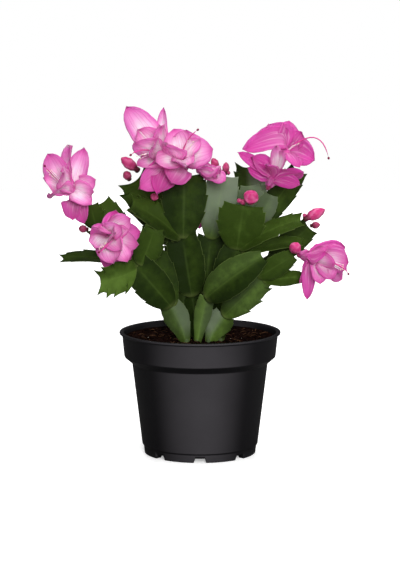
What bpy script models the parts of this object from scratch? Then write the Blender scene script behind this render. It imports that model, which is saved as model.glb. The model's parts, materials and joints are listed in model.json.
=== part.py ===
"""A Christmas cactus in bloom, in a plastic nursery pot.

Metres, +Z up. The origin is on the ground, under the middle of the pot, and the plant's front faces -Y.
Every rooted stem is one solid: a peg in the soil and the flat stem segments that grow out of each other.
Every bloom and every larger bud is a solid of its own, seated on the tip that it grows from.
"""

import math
from collections import namedtuple

import bmesh
import bpy
from mathutils import Matrix, Vector

MM = 0.001
GAP = 0.3 * MM  # air between two neighbouring pieces

# The pot
POT_HEIGHT = 91.4 * MM
LIP_RADIUS = 60.0 * MM
LIP_THICKNESS = 1.2 * MM
COLLAR_TOP_RADIUS = 58.1 * MM
COLLAR_FOOT_RADIUS = 56.4 * MM
COLLAR_FOOT_HEIGHT = 73.0 * MM
BODY_TOP_RADIUS = 50.6 * MM
BODY_TOP_HEIGHT = 69.5 * MM
BODY_FOOT_RADIUS = 43.2 * MM
FOOT_RADIUS = 41.6 * MM
FOOT_HEIGHT = 6.0 * MM
FOOT_RING_INNER_RADIUS = 36.5 * MM
UNDERCUT = 3.5 * MM  # the floor between the foot ring and the middle boss stands this far off the ground
BOSS_RADIUS = 12.0 * MM
FLOOR_TOP = 5.0 * MM
WALL = 1.2 * MM
POT_STEPS = 32
NOTCH_COUNT = 8
NOTCH_WIDTH = 10.0 * MM
NOTCH_TOP_WIDTH = 7.0 * MM
NOTCH_HEIGHT = 3.4 * MM
DRAIN_COUNT = 4
DRAIN_RADIUS = 4.0 * MM
DRAIN_CIRCLE = 24.0 * MM

# The soil and the holes that the stems stand in
SOIL_MIDDLE_HEIGHT = 85.2 * MM
SOIL_EDGE_HEIGHT = 87.2 * MM
SOIL_LUMP = 0.5 * MM
PEG_RADIUS = 2.4 * MM
PEG_FOOT_HEIGHT = 72.0 * MM
STEM_START_HEIGHT = 88.2 * MM  # the lowest flat segments start just clear of the soil
ROUND_STEPS = 8
FLAT_ANGLE = 3.5  # degrees under which two faces of a union count as one

# A stem segment: rows from its base to its tip, as (place of the midrib, place of the margin, half width).
# The margin carries forward-pointing teeth, and the cut-off tip ends in two horns.
SEGMENT_ROWS = (
    (0.00, 0.00, 0.16),
    (0.13, 0.12, 0.60),
    (0.34, 0.37, 0.97),
    (0.42, 0.40, 0.85),
    (0.62, 0.67, 1.00),
    (0.70, 0.70, 0.84),
    (0.86, 0.94, 0.74),
    (0.97, 1.04, 0.46),
)
SEGMENT_COLUMNS = 2
RIB_THICKNESS = 2.7 * MM
MARGIN_THICKNESS = 0.9 * MM
BASE_THICKNESS = 3.4 * MM
FOLD = 0.13  # how far the two halves fold forward about the midrib, as a share of the half width

# A petal: rows from its claw to its point, as (place, half width)
PETAL_ROWS = (
    (0.0, 0.15),
    (0.38, 0.88),
    (0.75, 0.92),
    (1.0, 0.12),
)
PETAL_COLUMNS = 2
PETAL_THICKNESS = 0.8 * MM
PETAL_CUP = 0.12
PETAL_TWIST = 22  # degrees that a petal turns on its own length, at most
TWIST_STEP = 2.4  # the turn follows a wave through the petals, so that neighbours turn unlike each other
PETAL_ROOT = 2.5 * MM  # how far from the flower's axis a petal starts, inside the wall of the tube

# Segment(name, parent, at, tip, width, turn, bow). All lengths are millimetres.
#   at: where on the parent it grows, as (along, across)
#   turn: degrees that its face is turned about its own length, from facing the front
#   bow: how far its middle stands out towards its face, as a share of its length
Segment = namedtuple("Segment", "name parent at tip width turn bow")
TIP = (0.93, 0.0)

STEMS = {
    "stem_left_front": ((-10, -13), (
        Segment("a1", None, None, (-22, -16, 114), 19, 0, -0.04),
        Segment("a2", "a1", TIP, (-48, -24, 145), 26, 0, 0.05),
        Segment("a3", "a1", (0.90, 0.3), (-36, -4, 154), 22, 20, -0.03),
        Segment("a4", "a2", (0.93, 0.4), (-34, -22, 171), 22, 25, 0.06),
        Segment("a5", "a2", (0.93, -0.3), (-73, -43, 135), 24, -25, 0.10),
        Segment("a9", "a2", (0.93, 0.0), (-59, -17, 164), 15, 0, 0.03),
    )),
    "stem_left_back": ((-12, -3), (
        Segment("l1", None, None, (-28, 12, 118), 15, 0, 0.03),
        Segment("l2", "l1", TIP, (-54, 10, 144), 18, 0, 0.04),
        Segment("a6", "l2", (0.93, -0.5), (-103, 2, 145), 20, 62, 0.05),
        Segment("a7", "l2", TIP, (-79, 6, 169), 19, 10, -0.04),
        Segment("a8", "a7", (0.93, 0.1), (-81, 2, 186), 17, 0, 0.04),
        Segment("a10", "l2", (0.90, 0.6), (-74, 14, 187), 22, 10, 0.04),
    )),
    "stem_centre": ((-2, -3), (
        Segment("m0", None, None, (-6, 3, 119), 15, 0, 0.02),
        Segment("m1", "m0", TIP, (-13, 2, 164), 28, -8, 0.03),
        Segment("m2", "m1", TIP, (-12, 6, 208), 34, 5, 0.05),
        Segment("m3", "m1", (0.93, -0.4), (-51, -14, 188), 24, 45, 0.06),
        Segment("m4", "m1", (0.91, -0.7), (-49, 17, 203), 31, 0, 0.03),
    )),
    "stem_centre_front": ((-2, -15), (
        Segment("c1", None, None, (5, -20, 121), 13, 0, -0.03),
        Segment("c2", "c1", TIP, (47, -34, 152), 26, -10, 0.12),
    )),
    "stem_right_front": ((6.5, -12.5), (
        Segment("r1", None, None, (18, -15, 106), 20, 0, -0.04),
        Segment("r2", "r1", TIP, (47, -20, 135), 22, 0, 0.04),
        Segment("r3", "r2", (0.93, -0.5), (69, -26, 152), 16, 0, 0.06),
        Segment("r4", "r2", (0.93, 0.4), (78, -20, 134), 13, -30, 0.05),
    )),
    "stem_right": ((15, -6), (
        Segment("v0", None, None, (17, -2, 119), 15, 0, 0.02),
        Segment("v1", "v0", TIP, (28, -2, 156), 26, 0, 0.03),
        Segment("v2", "v1", TIP, (32, -14, 188), 35, 0, 0.05),
        Segment("v3", "v1", (0.93, 0.4), (75, -20, 177), 17, -40, 0.08),
        Segment("v4", "v1", (0.88, 0.7), (76, -12, 159), 18, -58, 0.04),
        Segment("w1", "v0", (0.93, 0.3), (54, 12, 144), 13, 0, 0.03),
        Segment("w2", "w1", TIP, (82, 16, 168), 20, 0, 0.03),
    )),
    "stem_right_back": ((6, 3), (
        Segment("g0", None, None, (4, 10, 120), 15, 0, 0.02),
        Segment("g1", "g0", TIP, (8, 13, 162), 28, 0, 0.02),
        Segment("g2", "g1", TIP, (19, 14, 207), 26, -5, 0.03),
        Segment("x1", "g0", (0.92, 0.4), (26, 20, 147), 18, 0, 0.03),
        Segment("x2", "x1", TIP, (42, 18, 170), 19, 0, 0.03),
        Segment("h1", "x2", (0.93, -0.3), (37, 8, 200), 21, 0, 0.05),
        Segment("h2", "x2", (0.93, -0.4), (36, 27, 212), 24, 10, 0.04),
        Segment("h3", "x2", (0.93, 0.3), (53, 8, 193), 16, 10, 0.05),
        Segment("h4", "x2", (0.90, 0.5), (74, 30, 209), 20, 0, 0.04),
    )),
    "stem_back_left": ((-9, 9), (
        Segment("d1", None, None, (-13, 30, 118), 16, 0, 0.04),
        Segment("d2", "d1", TIP, (-17, 46, 156), 27, 170, 0.05),
        Segment("d3", "d2", TIP, (-8, 56, 190), 26, 180, 0.05),
        Segment("d4", "d2", (0.93, 0.5), (-36, 62, 172), 23, 165, 0.08),
        Segment("d5", "d2", (0.93, -0.3), (-8, 72, 168), 18, 180, 0.08),
    )),
    "stem_back_right": ((8, 13), (
        Segment("e1", None, None, (14, 34, 115), 16, 0, 0.04),
        Segment("e2", "e1", TIP, (26, 50, 148), 26, 180, 0.06),
        Segment("e3", "e2", TIP, (24, 58, 184), 25, 175, 0.05),
        Segment("e4", "e2", (0.93, -0.5), (48, 66, 160), 22, 190, 0.08),
    )),
}

# Bloom flowers, each grown from a place on a stem segment's tip.
# Flower(at, axis, tube, open_share, petals, style)
#   at: (stem, segment, place along it, place across it); None along it means the edge of its tip
#   open_share: how far its petals turn their faces from the tube's mouth to the front, from 0 to 1
#   petals: (start along the tube, tip, width, lift, and an open share of its own where that differs), where lift
#       says how far it follows the axis before it bends out
#   style: the place that it bends towards, and its tip
Flower = namedtuple("Flower", "at axis tube open_share petals style")

BLOOMS = {
    "bloom_far_left": [Flower(
        ("stem_left_back", "a8", None, 0.0), (-0.78, -0.3, 0.55), 18, 0.4,
        ((12.5, (-77, -12, 206), 15, 0.2, 0.7), (14, (-78, -18, 197), 15, 0.2, 0.75),
         (15.5, (-79, -21, 189), 14, 0.2, 0.9),
         (10, (-94, -17, 177), 17, 0.2, 0.8), (8, (-85, -17, 174), 14, 0.3, 0.5),
         (9, (-98, 12, 186), 17, 0.2),
         (16, (-85, -7, 229), 16, 0.2, 0.8), (16, (-95, 0, 230), 20, 0.3),
         (16, (-112, -2, 224), 20, 0.4),
         (16, (-115, -9, 207), 20, 0.4), (16, (-109, -22, 196), 20, 0.4),
         (15, (-99, -27, 212), 16, 0.4, 0.65),
         (16, (-103, 13, 214), 19, 0.3)),
        ((-106, -12, 206), (-113, -18, 216)))],
    "bloom_left": [Flower(
        ("stem_left_front", "a9", None, 0.0), (-0.35, -0.92, 0.15), 15, 0.3,
        ((9, (-61, -36, 186), 16, 0.25, 0.6), (9, (-80, -36, 166), 18, 0.3),
         (9, (-67, -40, 142), 17, 0.3, 0.6),
         (9, (-43, -33, 170), 18, 0.3), (9, (-50, -37, 150), 18, 0.3),
         (14, (-50, -43, 181), 18, 0.3, 0.7), (14, (-44, -45, 162), 18, 0.4, 0.6),
         (14, (-52, -49, 150), 18, 0.4, 0.6),
         (14, (-62, -53, 149), 20, 0.5, 0.7), (14, (-76, -50, 160), 17, 0.5),
         (14, (-72, -49, 176), 17, 0.5),
         (15, (-57, -55, 176), 15, 0.7, 0.6),
         (13, (-61, -57, 172), 14, 0.5, 0.5), (13, (-57, -57, 160), 14, 0.4, 0.6)),
        ((-66, -58, 162), (-72, -56, 158)))],
    "bloom_top_bunch": [
        Flower(
            ("stem_centre", "m2", None, -0.3), (-0.6, -0.35, 0.72), 21, 0.5,
            ((19, (-54, -8, 259), 21, 0.3), (18, (-27, -2, 258), 9, 0.3, 0.35),
             (17, (-48, -18, 235), 20, 0.3, 0.8),
             (15, (-46, -16, 217), 17, 0.1, 0.7), (19, (-29, -16, 246), 16, 0.4),
             (18, (-46, -6, 242), 21, 0.3),
             (19, (-35, -27, 231), 17, 0.4, 0.7), (8, (-44, -22, 200), 20, 0.1, 0.9),
             (9, (-31, -22, 197), 19, 0.1, 0.9)),
            ((-42, -22, 232), (-50, -22, 225))),
        Flower(
            ("stem_centre", "m2", None, 0.1), (-0.15, -0.72, 0.62), 19, 0.5,
            ((16, (9, -18, 229), 24, 0.3, 0.7), (16, (-19, -12, 243), 22, 0.3),
             (17, (-1, -14, 238), 20, 0.3),
             (16, (-10, -7, 242), 20, 0.3), (10, (-21, -24, 205), 20, 0.1, 0.8),
             (10, (8, -8, 224), 16, 0.3, 0.6),
             (15, (-33, -23, 219), 18, 0.2, 0.7), (16, (-10, -31, 217), 16, 0.4, 0.7),
             (17, (-24, -27, 233), 18, 0.4)),
            ((-12, -24, 236), (-2, -25, 243)))],
    "bloom_right": [Flower(
        ("stem_right_back", "h3", None, -1.0), (0.42, -0.2, 0.88), 36, 0.6,
        ((11, (28, -12, 226), 10, 0.1, 0.7), (11.5, (38, -8, 222), 15, 0.15, 0.8),
         (11, (35, -8, 214), 12, 0.1, 0.8), (10, (76, -12, 211), 13, 0.2, 0.7),
         (9, (73, -14, 202), 12, 0.2, 0.8), (11, (49, -20, 218), 10, 0.2, 0.8),
         (14, (56, -16, 231), 9, 0.2, 0.9), (14, (61, -15, 228), 8, 0.3, 0.8),
         (33, (31, -8, 228), 18, 0.6, 0.8), (34, (41, -2, 238), 17, 0.6, 0.8), (33, (51, 4, 245), 18, 0.5, 0.7),
         (34, (66, 4, 248), 18, 0.4, 0.75), (33, (75, 0, 240), 15, 0.4, 0.6), (33, (84, -11, 220), 19, 0.3, 0.9),
         (33, (81, 0, 231), 15, 0.4, 0.4), (32, (73, -14, 215), 13, 0.3, 0.9)),
        ((88, -10, 249), (94, -12, 222)))],
    "bloom_lower_right": [Flower(
        ("stem_right_front", "r3", None, 0.2), (0.85, -0.45, -0.1), 18, 0.4,
        ((8, (106, -26, 158), 18, 0.2, 0.2), (8, (78, -35, 120), 10, 0.15, 0.9),
         (9, (73, -32, 131.5), 6, 0.15, 0.6),
         (9, (107, -20, 140), 18, 0.3), (9, (90, -44, 157), 15, 0.3, 0.3),
         (15, (87, -44, 133), 13, 0.2, 0.9), (15, (98, -45, 148), 13, 0.2, 0.7),
         (15, (98, -41, 137), 15, 0.3, 0.8),
         (15, (108, -36, 148), 19, 0.4), (15, (106, -26, 152), 19, 0.4),
         (15, (104, -26, 134), 18, 0.3)),
        ((104, -50, 148), (107, -46, 141)))],
    "bloom_back": [Flower(
        ("stem_back_left", "d5", None, 0.0), (0.0, 0.93, 0.3), 17, 0.0,
        ((9, (-11, 84, 194), 20, 0.3), (9, (-27, 84, 180), 20, 0.3), (9, (-20, 86, 160), 20, 0.3),
         (9, (0, 86, 158), 20, 0.3), (9, (11, 84, 176), 20, 0.3),
         (15, (0, 98, 190), 20, 0.4), (15, (-21, 98, 184), 20, 0.4), (15, (-16, 100, 165), 20, 0.4),
         (15, (5, 100, 168), 20, 0.4), (16, (-10, 108, 184), 16, 0.6)),
        ((-7, 102, 183), (-5, 110, 178)))],
}

# Bud(at, direction, length, width): the buds that are not yet open
Bud = namedtuple("Bud", "at direction length width")
BUDS = {
    "bud_top_left": Bud(("stem_centre", "m4", None, 0.8), (-0.78, -0.3, 0.62), 18, 8.5),
    "bud_top_left_small": Bud(("stem_centre", "m4", None, -0.4), (-0.35, -0.6, 0.7), 9.5, 6.5),
    "bud_left_middle": Bud(("stem_centre", "m3", 0.67, 1.0), (0.2, -0.7, 0.65), 6.5, 6),
    "bud_left_brown": Bud(("stem_left_back", "a7", None, -1.0), (-0.85, -0.4, 0.15), 8, 6),
    "bud_half_open": Bud(("stem_centre", "m2", None, 1.0), (0.74, -0.66, -0.1), 24, 11),
    "bud_middle_left": Bud(("stem_right_back", "g2", None, -1.0), (-0.45, -0.15, 0.9), 10, 6),
    "bud_middle_right": Bud(("stem_right_back", "g2", None, 0.0), (0.05, -0.1, 1.0), 10, 5.5),
    "bud_round": Bud(("stem_right", "v2", None, 0.5), (0.1, -0.8, 0.6), 13, 11),
    "bud_right_long": Bud(("stem_right", "v3", None, 0.0), (0.85, -0.1, 0.42), 18, 8.5),
    "bud_right_small": Bud(("stem_right", "w2", None, 0.0), (0.95, -0.2, 0.15), 8, 5.5),
    "bud_lower_right": Bud(("stem_right_front", "r3", None, -0.8), (-0.1, -0.98, 0.0), 11, 8.5),
    "bud_back_top": Bud(("stem_back_left", "d3", None, 0.0), (0.0, 0.4, 0.9), 11, 6.5),
    "bud_back_middle": Bud(("stem_back_right", "e3", None, 0.0), (0.1, 0.5, 0.85), 12, 7),
    "bud_back_right": Bud(("stem_back_right", "e4", None, 0.0), (0.75, 0.5, 0.4), 13, 7.5),
}
# How many millimetres nearer to its segment a flower or bud sits than the rule in seat() puts it
CLOSER = {
    "bloom_far_left": 0.4, "bloom_left": 0.2, "bloom_top_bunch": 0.5, "bloom_lower_right": 0.3,
    "bloom_back": 0.4, "bloom_right": 0.95, "bud_top_left": 1.2, "bud_top_left_small": 0.45,
    "bud_left_middle": -0.05, "bud_left_brown": 0.3, "bud_half_open": 0.65, "bud_middle_left": 0.4,
    "bud_round": 0.8, "bud_lower_right": -0.1, "bud_back_top": 0.2, "bud_back_middle": 0.3,
    "bud_back_right": 0.2, "bud_right_long": -0.25,
}
# A bud's outline from its point down to its foot, as (height share, radius share)
BUD_OUTLINE = ((1.0, 0.0), (0.9, 0.55), (0.6, 1.0), (0.36, 0.86), (0.19, 0.5), (0.09, 0.56), (0.0, 0.4),
               (0.0, 0.0))
BUD_STEPS = 6
# A bloom's tube from its mouth down to its foot, as (height share, radius)
TUBE_OUTLINE = ((1.0, 0.0), (1.0, 3.6 * MM), (0.6, 3.0 * MM), (0.26, 1.7 * MM), (0.13, 2.3 * MM),
                (0.0, 1.6 * MM), (0.0, 0.0))
TUBE_STEPS = 6
STYLE_RADIUS = 0.55 * MM
STYLE_SHARES = (0.0, 0.5, 1.0)  # where along its curve the style's rods begin and end
STYLE_SIDES = 3


def rgb(code):
    """A hex colour as linear red, green, blue and alpha."""
    parts = [int(code[i:i + 2], 16) / 255 for i in (0, 2, 4)]
    return tuple(p / 12.92 if p < 0.04045 else ((p + 0.055) / 1.055) ** 2.4 for p in parts) + (1.0,)


def make_material(name, code, roughness):
    material = bpy.data.materials.new(name)
    material.use_nodes = True
    shader = material.node_tree.nodes["Principled BSDF"]
    shader.inputs["Base Color"].default_value = rgb(code)
    shader.inputs["Roughness"].default_value = roughness
    shader.inputs["Metallic"].default_value = 0.0
    material.diffuse_color = rgb(code)
    return material


def make_collection(name):
    collection = bpy.data.collections.new(name)
    bpy.context.scene.collection.children.link(collection)
    return collection


def object_from_bmesh(name, shape, collection, material=None):
    mesh = bpy.data.meshes.new(name)
    shape.to_mesh(mesh)
    shape.free()
    item = bpy.data.objects.new(name, mesh)
    collection.objects.link(item)
    if material:
        item.data.materials.append(material)
    return item


def evaluated_mesh(item):
    """The mesh of an object with its modifiers applied."""
    bpy.context.view_layer.update()
    graph = bpy.context.evaluated_depsgraph_get()
    return bpy.data.meshes.new_from_object(item.evaluated_get(graph))


def turned(name, profile, steps, collection, material=None):
    """A solid turned about Z from a profile of (radius, height) points that runs down its outer side."""
    shape = bmesh.new()
    points = [shape.verts.new((radius, 0, height)) for radius, height in profile]
    for upper, lower in zip(points, points[1:]):
        shape.edges.new((upper, lower))
    item = object_from_bmesh(name, shape, collection, material)
    screw = item.modifiers.new("turn", "SCREW")
    screw.steps = steps
    screw.render_steps = steps
    screw.use_merge_vertices = True
    screw.merge_threshold = 0.00001
    return item


def islands(shape):
    """The separate bodies of a mesh, as lists of faces."""
    left = set(shape.faces)
    found = []
    while left:
        reached = [left.pop()]
        for face in reached:
            for edge in face.edges:
                for neighbour in edge.link_faces:
                    if neighbour in left:
                        left.remove(neighbour)
                        reached.append(neighbour)
        found.append(reached)
    return found


def fill_hollows(mesh):
    """Keeps only the outer body of a union: hollows that it sealed are filled, loose scraps are dropped."""
    shape = bmesh.new()
    shape.from_mesh(mesh)
    bodies = sorted(islands(shape), key=len)
    for body in bodies[:-1]:
        bmesh.ops.delete(shape, geom=body, context="FACES")
    bmesh.ops.dissolve_limit(shape, angle_limit=math.radians(FLAT_ANGLE),
                             verts=shape.verts[:], edges=shape.edges[:])
    bmesh.ops.triangulate(shape, faces=shape.faces[:])
    shape.to_mesh(mesh)
    shape.free()


def joined(name, pieces, collection, material):
    """One closed solid made of pieces that overlap each other."""
    core = pieces[0]
    rest = bpy.data.collections.new(name + "_pieces")
    bpy.context.scene.collection.children.link(rest)
    for piece in pieces[1:]:
        for home in list(piece.users_collection):
            home.objects.unlink(piece)
        rest.objects.link(piece)
    union = core.modifiers.new("join", "BOOLEAN")
    union.operation = "UNION"
    union.operand_type = "COLLECTION"
    union.collection = rest
    union.solver = "EXACT"
    mesh = evaluated_mesh(core)
    mesh.name = name
    fill_hollows(mesh)
    mesh.materials.clear()
    mesh.materials.append(material)
    for piece in pieces:
        bpy.data.objects.remove(piece)
    bpy.data.collections.remove(rest)
    item = bpy.data.objects.new(name, mesh)
    collection.objects.link(item)
    return item


def slab(rows, columns):
    """A flat closed slab, split into triangles alike on both faces, one unit square and one unit thick."""
    shape = bmesh.new()
    bmesh.ops.create_grid(shape, x_segments=rows, y_segments=columns, size=0.5)
    bmesh.ops.triangulate(shape, faces=shape.faces[:], quad_method="FIXED")
    back = bmesh.ops.extrude_face_region(shape, geom=shape.faces[:])
    lifted = [part for part in back["geom"] if isinstance(part, bmesh.types.BMVert)]
    bmesh.ops.translate(shape, verts=lifted, vec=(0, 0, 1))
    bmesh.ops.translate(shape, verts=shape.verts[:], vec=(0.5, 0.5, 0))
    bmesh.ops.recalc_face_normals(shape, faces=shape.faces[:])
    bmesh.ops.triangulate(shape, faces=shape.faces[:], quad_method="FIXED")
    return shape


class Blade:
    """The middle surface of a segment or petal: a curved spine, with a direction across and one out of it."""

    def __init__(self, base, control, tip, face):
        self.base = base
        self.control = control
        self.tip = tip
        self.across = (tip - base).cross(face).normalized()

    def frame(self, along):
        """The spine's point, and the direction out of the face, at a place along the blade."""
        point = (self.base * (1 - along) ** 2
                 + self.control * 2 * along * (1 - along)
                 + self.tip * along ** 2)
        heading = (self.control - self.base) * (1 - along) + (self.tip - self.control) * along
        return point, self.across.cross(heading).normalized()


FRONT = Vector((0, -1, 0.14))


def facing(direction, turn):
    """The direction nearest the front that is square to a growth direction, turned by some degrees."""
    face = (FRONT - direction * FRONT.dot(direction)).normalized()
    return Matrix.Rotation(math.radians(turn), 3, direction) @ face


def segment_blade(segment, base):
    tip = Vector(segment.tip) * MM
    length = (tip - base).length
    face = facing((tip - base).normalized(), segment.turn)
    control = (base + tip) / 2 + face * segment.bow * 2 * length
    return Blade(base, control, tip, face)


def between(low, high, share):
    return low + (high - low) * share


def segment_point(blade, width, row, across, side):
    """A point of a segment: a row of SEGMENT_ROWS, across from -1 to 1, side -1 for the back, 1 for the face."""
    rib, margin, half = SEGMENT_ROWS[row]
    along = between(rib, margin, abs(across))
    point, out = blade.frame(along)
    offset = across * half * width / 2
    thin = between(RIB_THICKNESS, MARGIN_THICKNESS, abs(across) ** 0.8)
    thick = between(BASE_THICKNESS, thin, min(1.0, along / 0.15)) if abs(across) < 0.9 else MARGIN_THICKNESS
    return point + blade.across * offset + out * (FOLD * abs(offset) + side * thick / 2)


def segment_piece(name, blade, width, collection):
    """One flat stem segment as a closed slab laid along its blade."""
    rows = len(SEGMENT_ROWS) - 1
    shape = slab(rows, SEGMENT_COLUMNS)
    for point in shape.verts:
        row = round(point.co.x * rows)
        across = 1 - point.co.y * 2
        side = point.co.z * 2 - 1
        point.co = segment_point(blade, width, row, across, side)
    return object_from_bmesh(name, shape, collection)


def peg(name, root, collection):
    """The rooted foot of a stem, an upright round peg that stands in its hole."""
    low = PEG_FOOT_HEIGHT
    high = STEM_START_HEIGHT + 2.5 * MM
    shape = bmesh.new()
    bmesh.ops.create_cone(shape, cap_ends=True, segments=ROUND_STEPS, radius1=PEG_RADIUS,
                          radius2=PEG_RADIUS * 0.8, depth=high - low)
    bmesh.ops.translate(shape, verts=shape.verts[:], vec=(root[0] * MM, root[1] * MM, (low + high) / 2))
    bmesh.ops.triangulate(shape, faces=shape.faces[:])
    return object_from_bmesh(name, shape, collection)


def stem_blades(root, segments):
    """The blade and width of each segment of a stem, worked out from its root upwards."""
    blades = {}
    for segment in segments:
        if segment.parent is None:
            base = Vector((root[0] * MM, root[1] * MM, STEM_START_HEIGHT))
        else:
            parent, parent_width = blades[segment.parent]
            along, across = segment.at
            point, out = parent.frame(along)
            base = point + parent.across * across * 0.5 * parent_width / 2
            base = base + out * FOLD * abs(across) * 0.5 * parent_width / 2
        blades[segment.name] = (segment_blade(segment, base), segment.width * MM)
    return blades


def stem_pieces(name, root, segments, collection):
    pieces = [peg(name + "_peg", root, collection)]
    for key, (blade, width) in stem_blades(root, segments).items():
        pieces.append(segment_piece(name + "_" + key, blade, width, collection))
    return pieces


def seat(name, at, direction, foot):
    """Where a flower or bud with a foot of some radius starts: just clear of a segment's edge."""
    stem, segment, along, across = at
    root, segments = STEMS[stem]
    blade, width = stem_blades(root, segments)[segment]
    rib, margin, half = SEGMENT_ROWS[-1]
    if along is None:
        along = between(rib, margin, abs(across))
        heading = (blade.tip - blade.control).normalized() + blade.across * across ** 3
        slope = (margin - rib) * (blade.tip - blade.base).length / (half * width / 2)
        notch = slope if abs(across) < 1.0 else 0.0
    else:
        half = 1.0
        heading = blade.across * across
        notch = 0.0
    offset = across * half * width / 2
    point, out = blade.frame(along)
    heading = heading.normalized()
    lean = math.sqrt(max(0.0, 1 - heading.dot(direction) ** 2))
    clear = GAP + foot * (0.2 + 1.1 * lean + 0.7 * notch) - CLOSER.get(name, 0.0) * MM
    return point + blade.across * offset + out * FOLD * abs(offset) + heading * clear


def upright(base, direction):
    """The matrix that stands a piece made along Z on a base point, along a direction."""
    return Matrix.Translation(base) @ direction.to_track_quat("Z", "Y").to_matrix().to_4x4()


def placed(item, matrix):
    """The same object with its modifiers applied and its place put in its mesh."""
    mesh = evaluated_mesh(item)
    mesh.transform(matrix)
    home = item.users_collection[0]
    name = item.name
    bpy.data.objects.remove(item)
    made = bpy.data.objects.new(name, mesh)
    home.objects.link(made)
    return made


def petal_blade(base, axis, start, tip, lift, open_share, twist):
    """The spine and face of a petal; its face turns from the tube's mouth towards the front by a share."""
    root = base + axis * start * MM
    tip = Vector(tip) * MM
    reach = tip - root
    radial = (reach - axis * reach.dot(axis)).normalized()
    root = root + radial * PETAL_ROOT
    reach = tip - root
    face = (axis * reach.dot(radial) - radial * reach.dot(axis)).normalized()
    front = FRONT if face.dot(FRONT) > 0 else -FRONT
    face = face * (1 - open_share) + front * open_share
    heading = reach.normalized()
    face = (face - heading * face.dot(heading)).normalized()
    face = Matrix.Rotation(math.radians(twist), 3, heading) @ face
    return Blade(root, root + axis * lift * reach.length, tip, face)


def petal_piece(name, base, axis, petal, default_open, twist, collection):
    """One petal as a closed slab: it leaves the tube along the axis, then bends out to its point."""
    start, tip, width, lift = petal[:4]
    open_share = petal[4] if len(petal) > 4 else default_open
    blade = petal_blade(base, axis, start, tip, lift, open_share, twist)
    rows = len(PETAL_ROWS) - 1
    shape = slab(rows, PETAL_COLUMNS)
    for point in shape.verts:
        along, half = PETAL_ROWS[round(point.co.x * rows)]
        offset = (1 - point.co.y * 2) * half * width * MM / 2
        side = point.co.z * 2 - 1
        middle, out = blade.frame(along)
        rise = PETAL_CUP * abs(offset) + side * PETAL_THICKNESS / 2
        point.co = middle + blade.across * offset + out * rise
    return object_from_bmesh(name, shape, collection)


def style_pieces(name, start, bend, tip, collection):
    """The style as thin three-sided rods that follow one another along a curve."""
    points = [start * (1 - share) ** 2 + bend * 2 * share * (1 - share) + tip * share ** 2
              for share in STYLE_SHARES]
    pieces = []
    for number, (low, high) in enumerate(zip(points, points[1:])):
        reach = high - low
        shape = bmesh.new()
        bmesh.ops.create_cone(shape, cap_ends=True, segments=STYLE_SIDES, radius1=STYLE_RADIUS,
                              radius2=STYLE_RADIUS, depth=reach.length + STYLE_RADIUS)
        bmesh.ops.triangulate(shape, faces=shape.faces[:])
        bmesh.ops.transform(shape, verts=shape.verts[:], matrix=upright((low + high) / 2, reach.normalized()))
        pieces.append(object_from_bmesh(f"{name}_{number}", shape, collection))
    return pieces


def flower_pieces(name, flower, collection):
    axis = Vector(flower.axis).normalized()
    base = seat(name[:-2], flower.at, axis, TUBE_OUTLINE[-2][1])
    length = flower.tube * MM
    outline = [(radius, height * length) for height, radius in TUBE_OUTLINE]
    tube = turned(name + "_tube", outline, TUBE_STEPS, collection)
    pieces = [placed(tube, upright(base, axis))]
    for number, petal in enumerate(flower.petals):
        twist = PETAL_TWIST * math.sin(number * TWIST_STEP)
        petal_name = f"{name}_petal{number}"
        pieces.append(petal_piece(petal_name, base, axis, petal, flower.open_share, twist, collection))
    bend, tip = (Vector(place) * MM for place in flower.style)
    pieces += style_pieces(name + "_style", base + axis * (length - 3 * MM), bend, tip, collection)
    return pieces


def bloom_groups(collection):
    groups = {}
    for name, flowers in BLOOMS.items():
        groups[name] = []
        for number, flower in enumerate(flowers):
            groups[name] += flower_pieces(f"{name}_{number}", flower, collection)
    return groups


def bud_piece(name, bud, collection, material=None):
    direction = Vector(bud.direction).normalized()
    base = seat(name, bud.at, direction, BUD_OUTLINE[-2][1] * bud.width * MM / 2)
    outline = [(share * bud.width * MM / 2, height * bud.length * MM) for height, share in BUD_OUTLINE]
    item = turned(name, outline, BUD_STEPS, collection, material)
    item.matrix_world = upright(base, direction)
    return item


def bud_groups(collection):
    return {name: [bud_piece(name, bud, collection)] for name, bud in BUDS.items()}


def pot_profile():
    """From the middle of the floor, up the inner wall, over the lip, down outside and under the foot."""
    collar_inside = COLLAR_FOOT_RADIUS - WALL
    body_inside = BODY_TOP_RADIUS - WALL
    return (
        (0, FLOOR_TOP),
        (FOOT_RADIUS - WALL, FLOOR_TOP),
        (BODY_FOOT_RADIUS - WALL, FOOT_HEIGHT + 2 * WALL),
        (body_inside, BODY_TOP_HEIGHT),
        (collar_inside, COLLAR_FOOT_HEIGHT),
        (COLLAR_TOP_RADIUS - WALL, POT_HEIGHT - 0.5 * LIP_THICKNESS),
        (COLLAR_TOP_RADIUS - 0.5 * WALL, POT_HEIGHT),
        (LIP_RADIUS - 0.4 * MM, POT_HEIGHT),
        (LIP_RADIUS, POT_HEIGHT - LIP_THICKNESS),
        (COLLAR_TOP_RADIUS, POT_HEIGHT - LIP_THICKNESS - 0.5 * MM),
        (COLLAR_FOOT_RADIUS, COLLAR_FOOT_HEIGHT + 0.5 * MM),
        (COLLAR_FOOT_RADIUS - 1.2 * MM, COLLAR_FOOT_HEIGHT - 1.2 * MM),
        (BODY_TOP_RADIUS, BODY_TOP_HEIGHT - 1.5 * MM),
        (BODY_FOOT_RADIUS, FOOT_HEIGHT + 0.5 * MM),
        (FOOT_RADIUS + 0.4 * MM, FOOT_HEIGHT),
        (FOOT_RADIUS, 0),
        (FOOT_RING_INNER_RADIUS, 0),
        (FOOT_RING_INNER_RADIUS - 1.0 * MM, UNDERCUT),
        (BOSS_RADIUS + 1.0 * MM, UNDERCUT),
        (BOSS_RADIUS, 0),
        (0, 0),
    )


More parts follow.
